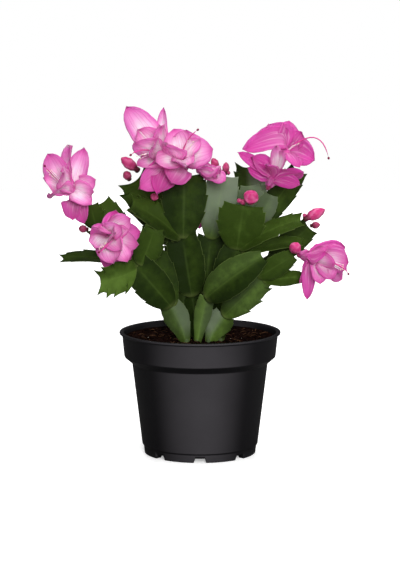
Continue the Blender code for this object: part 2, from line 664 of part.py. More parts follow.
def notch_cutter(name, angle, collection):
    """A block with sloping sides that cuts one notch through the foot ring."""
    shape = bmesh.new()
    bmesh.ops.create_cube(shape, size=1)
    low = -1.0 * MM
    middle = (FOOT_RING_INNER_RADIUS + FOOT_RADIUS) / 2
    deep = FOOT_RADIUS - FOOT_RING_INNER_RADIUS + 5 * MM
    for point in shape.verts:
        width = NOTCH_TOP_WIDTH if point.co.z > 0 else NOTCH_WIDTH
        height = NOTCH_HEIGHT if point.co.z > 0 else low
        point.co = Vector((point.co.x * width, middle + point.co.y * deep, height))
    cutter = object_from_bmesh(name, shape, collection)
    cutter.rotation_euler.z = angle
    return cutter


def drain_cutter(name, angle, collection):
    place = (DRAIN_CIRCLE * math.cos(angle), DRAIN_CIRCLE * math.sin(angle), 0)
    bpy.ops.mesh.primitive_cylinder_add(vertices=ROUND_STEPS, radius=DRAIN_RADIUS, depth=4 * FLOOR_TOP,
                                        location=place)
    cutter = bpy.context.object
    cutter.name = name
    cutter.users_collection[0].objects.unlink(cutter)
    collection.objects.link(cutter)
    return cutter


def hide_cutters(collection):
    for cutter in collection.objects:
        cutter.hide_render = True
        cutter.display_type = "WIRE"


def cut_with(item, cutters):
    cut = item.modifiers.new("cuts", "BOOLEAN")
    cut.operation = "DIFFERENCE"
    cut.operand_type = "COLLECTION"
    cut.collection = cutters
    cut.solver = "EXACT"


def make_pot(plant, material):
    """The nursery pot: one turned wall and floor, with notched foot ring and drainage holes."""
    cutters = make_collection("pot_cutters")
    for number in range(NOTCH_COUNT):
        notch_cutter(f"notch_{number}", number * 2 * math.pi / NOTCH_COUNT, cutters)
    for number in range(DRAIN_COUNT):
        drain_cutter(f"drain_{number}", (number + 0.5) * 2 * math.pi / DRAIN_COUNT, cutters)
    hide_cutters(cutters)
    pot = turned("pot", pot_profile(), POT_STEPS, plant, material)
    cut_with(pot, cutters)
    pot.data.shade_smooth()
    return pot


def soil_profile():
    """From the top of the mound down inside the pot's wall to its floor, clear of both by the usual gap."""
    clear = WALL + 1.3 * GAP
    edge = between(COLLAR_FOOT_RADIUS, COLLAR_TOP_RADIUS,
                   (SOIL_EDGE_HEIGHT - COLLAR_FOOT_HEIGHT) / (POT_HEIGHT - COLLAR_FOOT_HEIGHT))
    points = [(0, SOIL_MIDDLE_HEIGHT)]
    for ring in range(1, 4):
        share = ring / 4
        points.append((edge * share, between(SOIL_MIDDLE_HEIGHT, SOIL_EDGE_HEIGHT, share ** 3)))
    points += [
        (edge - clear, SOIL_EDGE_HEIGHT),
        (COLLAR_FOOT_RADIUS - clear, COLLAR_FOOT_HEIGHT + 1.5 * GAP),
        (BODY_TOP_RADIUS - clear, BODY_TOP_HEIGHT + 1.5 * GAP),
        (BODY_FOOT_RADIUS - clear, FOOT_HEIGHT + 2 * WALL + 1.5 * GAP),
        (FOOT_RADIUS - clear - GAP, FLOOR_TOP + GAP),
        (0, FLOOR_TOP + GAP),
    ]
    return points


def stem_hole(name, root, collection):
    """The plain round hole that a stem's peg stands in."""
    low = PEG_FOOT_HEIGHT - GAP
    high = SOIL_EDGE_HEIGHT + 6 * MM
    bpy.ops.mesh.primitive_cylinder_add(vertices=ROUND_STEPS, radius=PEG_RADIUS + 1.1 * GAP, depth=high - low,
                                        location=(root[0] * MM, root[1] * MM, (low + high) / 2))
    cutter = bpy.context.object
    cutter.name = name
    cutter.users_collection[0].objects.unlink(cutter)
    collection.objects.link(cutter)


def make_soil(plant, material):
    """The peat, a turned filling with a lumpy top and a hole for each stem."""
    filling = turned("soil_filling", soil_profile(), POT_STEPS, plant)
    mesh = evaluated_mesh(filling)
    bpy.data.objects.remove(filling)
    for point in mesh.vertices:
        radius = math.hypot(point.co.x, point.co.y)
        if point.co.z > SOIL_MIDDLE_HEIGHT - MM and radius < COLLAR_FOOT_RADIUS - 6 * MM:
            wave = math.sin(point.co.x / (5 * MM)) * math.cos(point.co.y / (4 * MM))
            wave += math.sin(radius / (3 * MM))
            point.co.z += SOIL_LUMP * wave
    mesh.materials.append(material)
    soil = bpy.data.objects.new("soil", mesh)
    plant.objects.link(soil)
    holes = make_collection("stem_holes")
    for name, (root, segments) in STEMS.items():
        stem_hole(name + "_hole", root, holes)
    hide_cutters(holes)
    cut_with(soil, holes)
    return soil


def main():
    for item in list(bpy.data.objects):
        bpy.data.objects.remove(item)
    plant = make_collection("potted_christmas_cactus")
    make_pot(plant, make_material("pot_charcoal", "2b2b2e", 0.5))
    make_soil(plant, make_material("peat_brown", "2a1812", 0.95))
    green = make_material("stem_green", "4a6428", 0.45)
    for name, (root, segments) in STEMS.items():
        joined(name, stem_pieces(name, root, segments, plant), plant, green)
    magenta = make_material("petal_magenta", "d95cae", 0.5)
    for name, pieces in bloom_groups(plant).items():
        joined(name, pieces, plant, magenta)
    pink = make_material("bud_pink", "e0569f", 0.45)
    for name, bud in BUDS.items():
        bud_piece(name, bud, plant, pink)


if __name__ == "__main__":
    main()
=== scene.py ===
# %% [markdown]
# # A Christmas cactus in bloom, in a nursery pot
# A Christmas cactus has no leaves. What looks like a leaf is a flat stem segment, called a pad, and each
# pad grows out of the cut-off tip of the one before it. The flowers and buds sit on the last pads. The
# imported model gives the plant's main solids, one for each rooted stem, bloom and bud. This lesson lays a
# finer skin over each of them, in metres and in the same place, and gives every surface its finish.

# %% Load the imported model
import json
import random
from collections import namedtuple
from math import copysign, cos, exp, hypot, pi, radians, sin, sqrt

import bmesh
import bpy
from mathutils import Matrix, Vector, noise

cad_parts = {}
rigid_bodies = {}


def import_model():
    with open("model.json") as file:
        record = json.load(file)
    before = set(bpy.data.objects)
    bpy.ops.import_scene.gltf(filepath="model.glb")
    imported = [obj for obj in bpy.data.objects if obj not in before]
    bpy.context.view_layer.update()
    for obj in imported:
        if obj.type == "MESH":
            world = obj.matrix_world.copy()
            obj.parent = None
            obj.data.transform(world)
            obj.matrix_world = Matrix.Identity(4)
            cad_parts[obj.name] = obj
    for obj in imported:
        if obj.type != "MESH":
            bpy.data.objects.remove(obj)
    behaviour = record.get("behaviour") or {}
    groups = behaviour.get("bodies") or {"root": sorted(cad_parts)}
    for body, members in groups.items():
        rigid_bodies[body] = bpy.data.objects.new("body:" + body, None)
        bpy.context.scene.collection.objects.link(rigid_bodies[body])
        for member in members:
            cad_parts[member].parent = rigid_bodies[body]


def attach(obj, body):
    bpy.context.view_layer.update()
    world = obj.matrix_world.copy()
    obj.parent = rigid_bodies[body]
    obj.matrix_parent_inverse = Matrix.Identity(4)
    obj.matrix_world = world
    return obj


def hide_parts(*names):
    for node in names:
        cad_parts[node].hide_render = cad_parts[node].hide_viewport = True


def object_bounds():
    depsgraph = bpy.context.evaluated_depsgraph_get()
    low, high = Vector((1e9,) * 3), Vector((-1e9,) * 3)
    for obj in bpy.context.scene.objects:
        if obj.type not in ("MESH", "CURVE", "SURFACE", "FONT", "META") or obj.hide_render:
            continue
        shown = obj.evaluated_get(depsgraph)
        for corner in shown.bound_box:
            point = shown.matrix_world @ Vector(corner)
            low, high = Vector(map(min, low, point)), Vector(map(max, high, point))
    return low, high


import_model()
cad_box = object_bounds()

MM = 0.001
low, high = cad_box
print("the packed model, in mm:", [round((b - a) / MM, 1) for a, b in zip(low, high)])

# %% [markdown]
# ## The camera
# A product picture is taken from far away with a long lens, so that the pot's sides don't seem to lean. The
# camera stands a little above the rim of the pot and looks slightly down on the soil.

# %% Place the camera
CAMERA_ELEVATION = radians(8.2)
CAMERA_DISTANCE = 1.694
CAMERA_TARGET = Vector((0.0, 0.0, 0.126))
LENS_LENGTH = 144  # millimetres
SENSOR_WIDTH = 36  # millimetres
FARTHEST_SEEN = 100  # metres


def put_in_scene(name, data, place=(0, 0, 0), target=None):
    """An object that stands at a place and, where a target is given, looks at it."""
    thing = bpy.data.objects.new(name, data)
    bpy.context.scene.collection.objects.link(thing)
    thing.location = place
    if target is not None:
        thing.rotation_euler = (Vector(target) - Vector(place)).to_track_quat("-Z", "Y").to_euler()
    return thing


camera_data = bpy.data.cameras.new("camera")
camera_data.lens = LENS_LENGTH
camera_data.sensor_width = SENSOR_WIDTH
camera_data.clip_end = FARTHEST_SEEN
towards_viewer = Vector((0, -cos(CAMERA_ELEVATION), sin(CAMERA_ELEVATION)))
viewpoint = CAMERA_TARGET + towards_viewer * CAMERA_DISTANCE
bpy.context.scene.camera = put_in_scene("camera", camera_data, viewpoint, CAMERA_TARGET)
print("the camera stands", round(CAMERA_DISTANCE, 2), "m away")

# %% [markdown]
# ## Helpers for node trees
# Light and finishes are small trees of nodes. These helpers turn a hex colour into light, and add a node to
# a tree with everything that goes into it.


# %% Helpers for node trees
def rgb(code):
    """A hex colour as linear red, green, blue and alpha."""
    parts = [int(code[i:i + 2], 16) / 255 for i in (0, 2, 4)]
    return tuple(p / 12.92 if p < 0.04045 else ((p + 0.055) / 1.055) ** 2.4 for p in parts) + (1.0,)


def feed(tree, node, **inputs):
    """Fills inputs with values, hex colours or outputs; i0 is the first input, and _ is a space."""
    for name, value in inputs.items():
        socket = node.inputs[int(name[1:]) if name[1:].isdigit() else name.replace("_", " ")]
        if isinstance(value, bpy.types.NodeSocket):
            tree.links.new(value, socket)
        else:
            socket.default_value = rgb(value) if isinstance(value, str) else value


def add_node(tree, kind, settings=(), **inputs):
    node = tree.nodes.new(kind)
    for name, value in dict(settings).items():
        setattr(node, name, value)
    feed(tree, node, **inputs)
    return node


print("pure white as light:", rgb("ffffff"))

# %% [markdown]
# ## The light
# A studio lights a plant with large soft boxes, because small lamps would put hard spots on the waxy pads.
# The strongest box hangs in front, a weak one on the right makes that side of a folded pad a little
# brighter, and two above and behind keep the back of the plant from going black. Most boxes bring out
# colours only. One low in front brings out gloss only, so the skin and the petals shine without a haze over
# the whole plant. The room round the plant is white to look at, but throws little light of its own.

# %% Hang the soft boxes
LIT_PLACE = (0, 0, 0.12)
ROOM_LIGHT = 0.06
SOFT_BOXES = (
    # name, place, side in metres, power in watts, what it brings out: "colour", "gloss" or "both"
    ("box_front", (0.35, -2.4, 0.95), 1.2, 78, "colour"),
    ("box_right", (1.6, -0.9, 1.3), 0.9, 5, "both"),
    ("box_top", (0.0, 0.0, 2.1), 1.2, 34, "colour"),
    ("box_back", (-0.3, 2.3, 1.3), 1.4, 40, "colour"),
    ("box_shine", (0.12, -2.2, 0.6), 0.8, 5, "gloss"),
)
for name, place, side, power, brings_out in SOFT_BOXES:
    box_data = bpy.data.lights.new(name, "AREA")
    box_data.size = side
    box_data.energy = power
    soft_box = put_in_scene(name, box_data, place, LIT_PLACE)
    soft_box.visible_glossy = brings_out != "colour"
    soft_box.visible_diffuse = brings_out != "gloss"

studio = bpy.data.worlds.new("studio")
studio.use_nodes = True
tree = studio.node_tree
room = tree.nodes["Background"]
feed(tree, room, Color="ffffff", Strength=ROOM_LIGHT)
paper = add_node(tree, "ShaderNodeBackground", Color="ffffff")
seen = add_node(tree, "ShaderNodeLightPath").outputs["Is Camera Ray"]
choice = add_node(tree, "ShaderNodeMixShader", i0=seen, i1=room.outputs[0], i2=paper.outputs[0])
feed(tree, tree.nodes["World Output"], Surface=choice.outputs[0])
bpy.context.scene.world = studio
bpy.context.scene.view_settings.view_transform = "Standard"
print(len(SOFT_BOXES), "soft boxes")

# %% [markdown]
# ## How a finish is built
# Peat, plastic, skin and petals all have a fine grain and a slow, cloudy change from place to place. One
# node group makes both from the piece's own coordinates: its grain goes to bumps, and its clouds go to
# colours. A finish starts from this group. Colours are then laid over each other, each where a mask lets it
# show.

# %% The grain group and the finish
GRAIN_SOCKETS = (
    ("Place", "INPUT", "NodeSocketVector"), ("Grain Size", "INPUT", "NodeSocketFloat"),
    ("Cloud Size", "INPUT", "NodeSocketFloat"), ("Grain", "OUTPUT", "NodeSocketFloat"),
    ("Clouds", "OUTPUT", "NodeSocketFloat"),
)
GRAIN_ROUGHNESS = 0.55


def build_grain_group():
    group = bpy.data.node_groups.new("grain", "ShaderNodeTree")
    for name, way, kind in GRAIN_SOCKETS:
        group.interface.new_socket(name, in_out=way, socket_type=kind)
    way_in = group.nodes.new("NodeGroupInput").outputs
    way_out = group.nodes.new("NodeGroupOutput")
    for name, size, detail in (("Grain", "Grain Size", 2.0), ("Clouds", "Cloud Size", 3.0)):
        texture = add_node(group, "ShaderNodeTexNoise", Vector=way_in["Place"], Scale=way_in[size],
                           Detail=detail, Roughness=GRAIN_ROUGHNESS)
        feed(group, way_out, **{name: texture.outputs["Fac"]})
    return group


GRAIN = build_grain_group()


class Finish:
    """A material in the making. Each step adds a node to its tree and gives the node's output."""

    def __init__(self, name, code, grain_size, cloud_size):
        self.material = bpy.data.materials.new(name)
        self.material.use_nodes = True
        self.material.diffuse_color = rgb(code)
        self.tree = self.material.node_tree
        self.place = self.add("TexCoord").outputs["Object"]
        node = self.add("Group", {"node_tree": GRAIN}, Place=self.place, Grain_Size=grain_size,
                        Cloud_Size=cloud_size)
        self.grain, self.clouds = node.outputs

    def add(self, kind, settings=(), **inputs):
        return add_node(self.tree, "ShaderNode" + kind, settings, **inputs)

    def math(self, operation, first, second=0.0, third=0.0):
        return self.add("Math", {"operation": operation}, i0=first, i1=second, i2=third).outputs[0]

    def product(self, first, second):
        return self.math("MULTIPLY", first, second)

    def scaled(self, value, factor, shift):
        return self.math("MULTIPLY_ADD", value, factor, shift)

    def ranged(self, value, start, end):
        """0 at the start to 1 at the end, with a soft turn at both."""
        settings = {"interpolation_type": "SMOOTHSTEP"}
        return self.add("MapRange", settings, Value=value, From_Min=start, From_Max=end).outputs[0]

    def mixed(self, share, first, second):
        return self.add("Mix", {"data_type": "RGBA"}, i0=share, i6=first, i7=second).outputs[2]

    def layered(self, colour, *layers):
        """Lays colours over each other. A layer is (mask, strength, colour)."""
        for mask, strength, tint in layers:
            colour = self.mixed(self.product(mask, strength), colour, tint)
        return colour

    def attribute(self, name):
        return self.add("Attribute", {"attribute_name": name}).outputs["Fac"]

    def sheet_places(self):
        """How far along a sheet a point is, and how far from its middle line, both from 0 to 1."""
        self.sheet = self.add("UVMap", {"uv_map": "UVMap"}).outputs["UV"]
        split = self.add("SeparateXYZ", Vector=self.sheet).outputs
        return split["X"], self.math("ABSOLUTE", self.scaled(split["Y"], 2.0, -1.0))

    def veins(self, lengthwise, sideways, detail, shift=(0, 0, 0)):
        """Noise with some number of lumps along the sheet and across it."""
        drawn_out = self.add("Mapping", Vector=self.sheet, Location=shift, Scale=(lengthwise, sideways, 1.0))
        return self.add("TexNoise", Vector=drawn_out.outputs["Vector"], Scale=1.0, Detail=detail,
                        Roughness=0.5).outputs["Fac"]

    def done(self, colour, rough, bump=None, inner_light=None, **inputs):
        """Joins it to the shader; bump is (relief, strength, mm high), inner_light (share, reach in mm)."""
        if bump:
            relief, strength, height = bump
            node = self.add("Bump", Height=relief, Strength=strength, Distance=height * MM)
            inputs["Normal"] = node.outputs["Normal"]
        if inner_light:
            share, reach = inner_light
            inputs.update(Subsurface_Weight=share, Subsurface_Radius=Vector(reach) * MM, Subsurface_Scale=1.0)
        shader = self.tree.nodes["Principled BSDF"]
        feed(self.tree, shader, Base_Color=colour, Roughness=rough, **inputs)
        return self.material


print("grain group:", [item.name for item in GRAIN.interface.items_tree])

# %% [markdown]
# ## The floor
# The plant stands on a plain pale sheet, wide enough to run past the edges of the picture. To the camera it
# is white and glows a little. To the plant it is grey paper, so that the undersides of the pads stay dark.

# %% Lay the floor
FLOOR_HALF_WIDTH = 1.9
PAPER_GLOW = 0.4  # a glow that only the camera sees, so none of it falls on the plant


def to_object(name, shape):
    """An object with the shape as its smooth mesh."""
    for face in shape.faces:
        face.smooth = True
    mesh = bpy.data.meshes.new(name)
    shape.to_mesh(mesh)
    shape.free()
    return put_in_scene(name, mesh)


floor_shape = bmesh.new()
bmesh.ops.create_grid(floor_shape, x_segments=1, y_segments=1, size=FLOOR_HALF_WIDTH)
floor = to_object("floor", floor_shape)
look = Finish("pale_floor", "f4f4f4", 60, 0.7)
seen = look.add("LightPath").outputs["Is Camera Ray"]
colour = look.mixed(seen, "6c6c6c", look.mixed(look.clouds, "f8f8f8", "fafafa"))
floor.data.materials.append(look.done(colour, 0.9, Specular_IOR_Level=0.1, Emission_Color="ffffff",
                                      Emission_Strength=look.product(seen, PAPER_GLOW)))
print("a floor of", 2 * FLOOR_HALF_WIDTH, "m")

# %% [markdown]
# ## Two ways to start a shape
# Pads and petals are sheets, so they start as a flat grid that is extruded into a thin closed slab. Buds,
# tubes and threads are round, so they start as a grid that is rolled up along a path. In both cases the
# operator makes the mesh, and a rule then says where each of its points goes. Each point also keeps its
# place along and across the sheet as a UV map, and a few values of its own, which the finishes read.

# %% Helpers for sheets and round bodies
WELD_DISTANCE = 0.002 * MM
HEADING_STEP = 0.01  # the share of a path over which its heading is measured


def between(low, high, share):
    return low + (high - low) * share


def eased(share):
    """0 to 1 with a slow start and a slow end."""
    share = min(1.0, max(0.0, share))
    return share * share * (3 - 2 * share)


def through(table, place):
    """A smooth curve through (place, value) pairs."""
    for (start, first), (end, second) in zip(table, table[1:]):
        if place <= end:
            return between(first, second, eased((place - start) / (end - start)))
    return table[-1][1]


def curved(start, control, end, share):
    """The point at a share of a path that leaves its start towards the control point."""
    return start * (1 - share) ** 2 + control * 2 * share * (1 - share) + end * share ** 2


def start_shape():
    shape = bmesh.new()
    shape.loops.layers.uv.new("UVMap")
    for name in ("tone", "pale", "foot"):
        shape.verts.layers.float.new(name)
    return shape


def weld(shape, places, values):
    """Writes each point's place as a UV map, with its values, and welds the seams of the body."""
    for name, value in values.items():
        layer = shape.verts.layers.float[name]
        for vert, place in places.items():
            vert[layer] = value(*place) if callable(value) else value
    uv_map = shape.loops.layers.uv["UVMap"]
    for vert, place in places.items():
        for loop in vert.link_loops:
            loop[uv_map].uv = place
    bmesh.ops.remove_doubles(shape, verts=list(places), dist=WELD_DISTANCE)


def add_sheet(shape, rows, columns, put, **values):
    """A closed slab: put(along, across, side) gives a point, with across from -1 to 1 and side -1 or 1."""
    flat = bmesh.ops.create_grid(shape, x_segments=rows, y_segments=columns, size=0.5)["verts"]
    faces = list({face for vert in flat for face in vert.link_faces})
    raised = bmesh.ops.extrude_face_region(shape, geom=faces)["geom"]
    places = {}
    for side, points in ((-1, flat), (1, raised)):
        for vert in points:
            if isinstance(vert, bmesh.types.BMVert):
                along, across = vert.co.x + 0.5, vert.co.y * -2
                places[vert] = (along, (across + 1) / 2)
                vert.co = put(along, across, side)
    weld(shape, places, values)


def add_round(shape, rows, sides, path, radius, across, **values):
    """A closed round body along path(along); radius(along, turn) is 0 at both of its ends."""
    places = {}
    for vert in bmesh.ops.create_grid(shape, x_segments=rows, y_segments=sides, size=0.5)["verts"]:
        along, turn = places[vert] = (vert.co.x + 0.5, vert.co.y + 0.5)
        heading = (path(along + HEADING_STEP) - path(along - HEADING_STEP)).normalized()
        right = (across - heading * across.dot(heading)).normalized()
        up = heading.cross(right)
        angle = turn * 2 * pi
        vert.co = path(along) + (right * cos(angle) + up * sin(angle)) * radius(along, turn)
    weld(shape, places, values)


def finish_piece(name, shape, finish, slot, *nodes):
    """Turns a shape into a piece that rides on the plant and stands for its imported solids."""
    bmesh.ops.recalc_face_normals(shape, faces=shape.faces[:])
    piece = to_object(name, shape)
    piece.data.materials.append(finish)
    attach(piece, "root")
    if nodes:
        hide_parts(*nodes)
    return piece


print("sheets and round bodies are ready")

# %% [markdown]
# ## The pot
# A nursery pot is thin black plastic, blown into a mould. It has a rolled lip, a wide collar so that pots
# stack, a tapered body and a foot ring with notches that let water out. It is turned from one profile,
# because it is round, and its corners are softened first. The notches and drainage holes are cut out
# afterwards.

# %% Turn the pot
POT_HEIGHT = 91.4 * MM
LIP_RADIUS = 60.0 * MM
LIP_THICKNESS = 1.4 * MM
LIP_DEPTH = 1.9 * MM  # with the slope under it
COLLAR_TOP_RADIUS = 58.1 * MM
COLLAR_FOOT_RADIUS = 56.4 * MM
COLLAR_FOOT_HEIGHT = 73.0 * MM
COLLAR_STEP = 1.2 * MM
BODY_TOP_RADIUS = 50.6 * MM
BODY_TOP_HEIGHT = 69.5 * MM
BODY_FOOT_RADIUS = 43.2 * MM
FOOT_RADIUS = 41.6 * MM
FOOT_HEIGHT = 6.0 * MM
RING_RADIUS = 36.5 * MM
UNDERCUT = 3.5 * MM
DRAFT = 1.0 * MM  # how far the walls of the undercut lean, so that the pot leaves its mould
BOSS_RADIUS = 12.0 * MM
FLOOR_TOP = 5.0 * MM
WALL = 1.2 * MM
POT_STEPS = 144
CORNER_RADIUS = 0.5 * MM
LONGEST_CUT = 0.4  # the share of an edge that a softened corner may take

POT_PROFILE = (
    (0, FLOOR_TOP),
    (FOOT_RADIUS - WALL, FLOOR_TOP),
    (BODY_FOOT_RADIUS - WALL, FOOT_HEIGHT + 2 * WALL),
    (BODY_TOP_RADIUS - WALL, BODY_TOP_HEIGHT),
    (COLLAR_FOOT_RADIUS - WALL, COLLAR_FOOT_HEIGHT),
    (COLLAR_TOP_RADIUS - WALL, POT_HEIGHT),
    (LIP_RADIUS, POT_HEIGHT),
    (LIP_RADIUS, POT_HEIGHT - LIP_THICKNESS),
    (COLLAR_TOP_RADIUS, POT_HEIGHT - LIP_DEPTH),
    (COLLAR_FOOT_RADIUS, COLLAR_FOOT_HEIGHT),
    (COLLAR_FOOT_RADIUS - 1.4 * MM, COLLAR_FOOT_HEIGHT - COLLAR_STEP),
    (BODY_TOP_RADIUS, BODY_TOP_HEIGHT - 1.5 * MM),
    (BODY_FOOT_RADIUS, FOOT_HEIGHT + 0.8 * MM),
    (FOOT_RADIUS + 0.6 * MM, FOOT_HEIGHT),
    (FOOT_RADIUS, 0),
    (RING_RADIUS, 0),
    (RING_RADIUS - DRAFT, UNDERCUT),
    (BOSS_RADIUS + DRAFT, UNDERCUT),
    (BOSS_RADIUS, 0),
    (0, 0),
)


def softened(profile):
    """The profile with each of its corners cut into a small three-point curve."""
    points = [Vector(point) for point in profile]
    soft = [points[0]]
    for before, corner, after in zip(points, points[1:], points[2:]):
        back = before - corner
        ahead = after - corner
        reach = min(CORNER_RADIUS, back.length * LONGEST_CUT, ahead.length * LONGEST_CUT)
        start = corner + back.normalized() * reach
        end = corner + ahead.normalized() * reach
        soft += [start, start * 0.25 + corner * 0.5 + end * 0.25, end]
    return soft + [points[-1]]


def turned_shape(profile, steps):
    shape = start_shape()
    points = [shape.verts.new((radius, 0, height)) for radius, height in profile]
    edges = [shape.edges.new(pair) for pair in zip(points, points[1:])]
    bmesh.ops.spin(shape, geom=points + edges, cent=(0, 0, 0), axis=(0, 0, 1), angle=2 * pi,
                   steps=steps, use_merge=True, use_duplicate=False)
    bmesh.ops.remove_doubles(shape, verts=shape.verts[:], dist=0.01 * MM)
    bmesh.ops.recalc_face_normals(shape, faces=shape.faces[:])
    return shape


def cut_away(shape, cutters):
    """The shape with every cutter taken out of it."""
    body = to_object("blank", shape)
    tool = to_object("cutters", cutters)
    cut = body.modifiers.new("cuts", "BOOLEAN")
    cut.operation = "DIFFERENCE"
    cut.object = tool
    cut.solver = "EXACT"
    bpy.context.view_layer.update()
    result = bmesh.new()
    result.from_mesh(body.evaluated_get(bpy.context.evaluated_depsgraph_get()).to_mesh())
    bpy.data.objects.remove(body)
    bpy.data.objects.remove(tool)
    return result


# A notch in the foot ring, in millimetres: its length through the ring, then (width, height) below and above
NOTCH_COUNT = 8
NOTCH_LENGTH = 10.1
NOTCH_SECTION = ((10.0, -1.0), (7.0, 3.4))
DRAIN_COUNT = 4
DRAIN_RADIUS = 4 * MM
DRAIN_DISTANCE = 24 * MM
DRAIN_SIDES = 24
DRAIN_CUT = 20 * MM

cutters = bmesh.new()
for number in range(NOTCH_COUNT):
    block = bmesh.ops.create_cube(cutters, size=1)["verts"]
    for vert in block:
        width, height = NOTCH_SECTION[vert.co.z > 0]
        outward = (FOOT_RADIUS + RING_RADIUS) / 2 / MM + vert.co.y * NOTCH_LENGTH
        vert.co = Vector((vert.co.x * width, outward, height)) * MM
    bmesh.ops.rotate(cutters, verts=block, cent=(0, 0, 0),
                     matrix=Matrix.Rotation(number * 2 * pi / NOTCH_COUNT, 3, "Z"))
for number in range(DRAIN_COUNT):
    angle = (number + 0.5) * 2 * pi / DRAIN_COUNT
    spot = Matrix.Translation((DRAIN_DISTANCE * cos(angle), DRAIN_DISTANCE * sin(angle), 0))
    bmesh.ops.create_cone(cutters, cap_ends=True, segments=DRAIN_SIDES, radius1=DRAIN_RADIUS,
                          radius2=DRAIN_RADIUS, depth=DRAIN_CUT, matrix=spot)
pot_shape = cut_away(turned_shape(softened(POT_PROFILE), POT_STEPS), cutters)
print("the pot has", len(pot_shape.faces), "faces")

# %% [markdown]
# The plastic is matt charcoal with the fine grain of a blasted mould. Its lip and foot are a little
# smoother and a little darker, and a thin film of dust greys it in clouds. Its colour is also darkened
# where the wall turns away from the viewer. That shade is painted into the colour. The light doesn't make
# it, so it moves when the viewer does.

# %% Finish the pot
# the heights between which the smoother, darker bands at the lip and the foot fade in
LIP_BAND = (88.5 * MM, 91.3 * MM)  # the heights between which the rubbed part fades in
FOOT_BAND = (6.5 * MM, 1.0 * MM)

look = Finish("pot_charcoal", "2b2b2e", 2600, 38)
height = look.add("SeparateXYZ", Vector=look.place).outputs["Z"]
foot_band = look.product(look.ranged(height, *FOOT_BAND), 0.6)
# a band at the lip and one at the foot, a little smoother and a little darker
lip_and_foot_band = look.math("MAXIMUM", look.ranged(height, *LIP_BAND), foot_band)
turned_away = look.ranged(look.add("LayerWeight", Blend=0.5).outputs["Facing"], 0.0, 0.4)
dusty = look.mixed(look.clouds, "363437", "403e41")
colour = look.layered(dusty, (turned_away, 1.0, "141315"), (lip_and_foot_band, 0.35, "333235"))
rough = look.math("SUBTRACT", look.scaled(look.clouds, 0.12, 0.48), look.product(lip_and_foot_band, 0.1))
pot_finish = look.done(colour, rough, bump=(look.grain, 0.12, 0.2), Specular_IOR_Level=0.12)
pot = finish_piece("nursery_pot", pot_shape, pot_finish, "pot", "pot")
print("finished", pot.name)

# %% [markdown]
# ## The peat
# The pot is filled with dark peat nearly to the brim. Its colour is painted darker than the peat's own
# brown, as painted shade from the pot's wall. The surface is a disc of rings pushed up and down by noise,
# coarse for the lumps and fine for the crumbs. Loose crumbs, fibres and a few perlite bits lie on it.

# %% Fill the pot with peat
SOIL_MIDDLE = 85.2 * MM
SOIL_EDGE = 87.2 * MM
SOIL_RADIUS = 55.9 * MM
SOIL_RINGS = 46
SOIL_STEPS = 150
SOIL_CLEARANCE = 0.4 * MM
SOIL_LUMPS = ((9, 1.3), (3.1, 0.7), (1.2, 0.28))  # (size, height) of each kind of lump, in millimetres
CALM_EDGE = 0.8  # the share of the lumps that is lost at the wall of the pot


def soil_bowl(x, y):
    """The height of the peat without its lumps: a little lower in the middle."""
    return between(SOIL_MIDDLE, SOIL_EDGE, (hypot(x, y) / SOIL_RADIUS) ** 3)


def soil_height(x, y):
    place = Vector((x, y, 0)) / MM
    lumps = sum(noise.noise(place / size) * height for size, height in SOIL_LUMPS)
    return soil_bowl(x, y) + lumps * (1 - (hypot(x, y) / SOIL_RADIUS) ** 8 * CALM_EDGE) * MM


soil_profile = [(SOIL_RADIUS * ring / SOIL_RINGS, SOIL_EDGE) for ring in range(SOIL_RINGS + 1)]
soil_profile += [
    (COLLAR_FOOT_RADIUS - WALL - SOIL_CLEARANCE, COLLAR_FOOT_HEIGHT + 0.5 * MM),
    (BODY_TOP_RADIUS - WALL - SOIL_CLEARANCE, BODY_TOP_HEIGHT + 0.5 * MM),
    (BODY_FOOT_RADIUS - WALL - SOIL_CLEARANCE, FOOT_HEIGHT + 2 * WALL + 0.5 * MM),
    (FOOT_RADIUS - WALL - 0.7 * MM, FLOOR_TOP + 0.3 * MM),
    (0, FLOOR_TOP + 0.3 * MM),
]
soil_shape = turned_shape(soil_profile, SOIL_STEPS)
for vert in soil_shape.verts:
    if vert.co.z > SOIL_EDGE - 0.1 * MM:
        vert.co.z = soil_height(vert.co.x, vert.co.y)

look = Finish("peat_brown", "2a1812", 750, 160)
# painted shade: near-black, darker than the peat's own brown, for the shade of the pot's wall
colour = look.mixed(look.ranged(look.clouds, 0.35, 0.7), "090403", "170b08")
colour = look.layered(colour, (look.ranged(look.grain, 0.55, 0.75), 1.0, "25130d"))
peat_finish = look.done(colour, look.scaled(look.grain, 0.2, 0.75), bump=(look.grain, 0.7, 0.8),
                        Specular_IOR_Level=0.06)
soil = finish_piece("peat", soil_shape, peat_finish, "soil", "soil")
print("the peat has", len(soil.data.polygons), "faces")

# %% Scatter crumbs, fibres and perlite
# Bits(how many, smallest and largest in millimetres, how far out they lie, how tall for their width)
Bits = namedtuple("Bits", "count smallest largest widest height")
CRUMBS = Bits(620, 0.8, 3.2, 53 * MM, 0.7)
PERLITE = Bits(16, 0.7, 1.5, 50 * MM, 0.9)
LUMP_LENGTH = 1.25
LUMP_WIDTH = 0.85
LUMP_TILT = 0.6  # radians, at most
LUMP_ROUGHNESS = 0.55
FIBRE_COUNT = 110
FIBRES_WIDEST = 51 * MM
FIBRE_SIDE = Vector((0.1, 0.2, 1))
FULL_TURN = 6.28


def scattered_spot(dice, widest):
    """A place on the peat, evenly spread over the disc."""
    radius = widest * sqrt(dice.random())
    angle = dice.uniform(0, 2 * pi)
    return radius * cos(angle), radius * sin(angle)


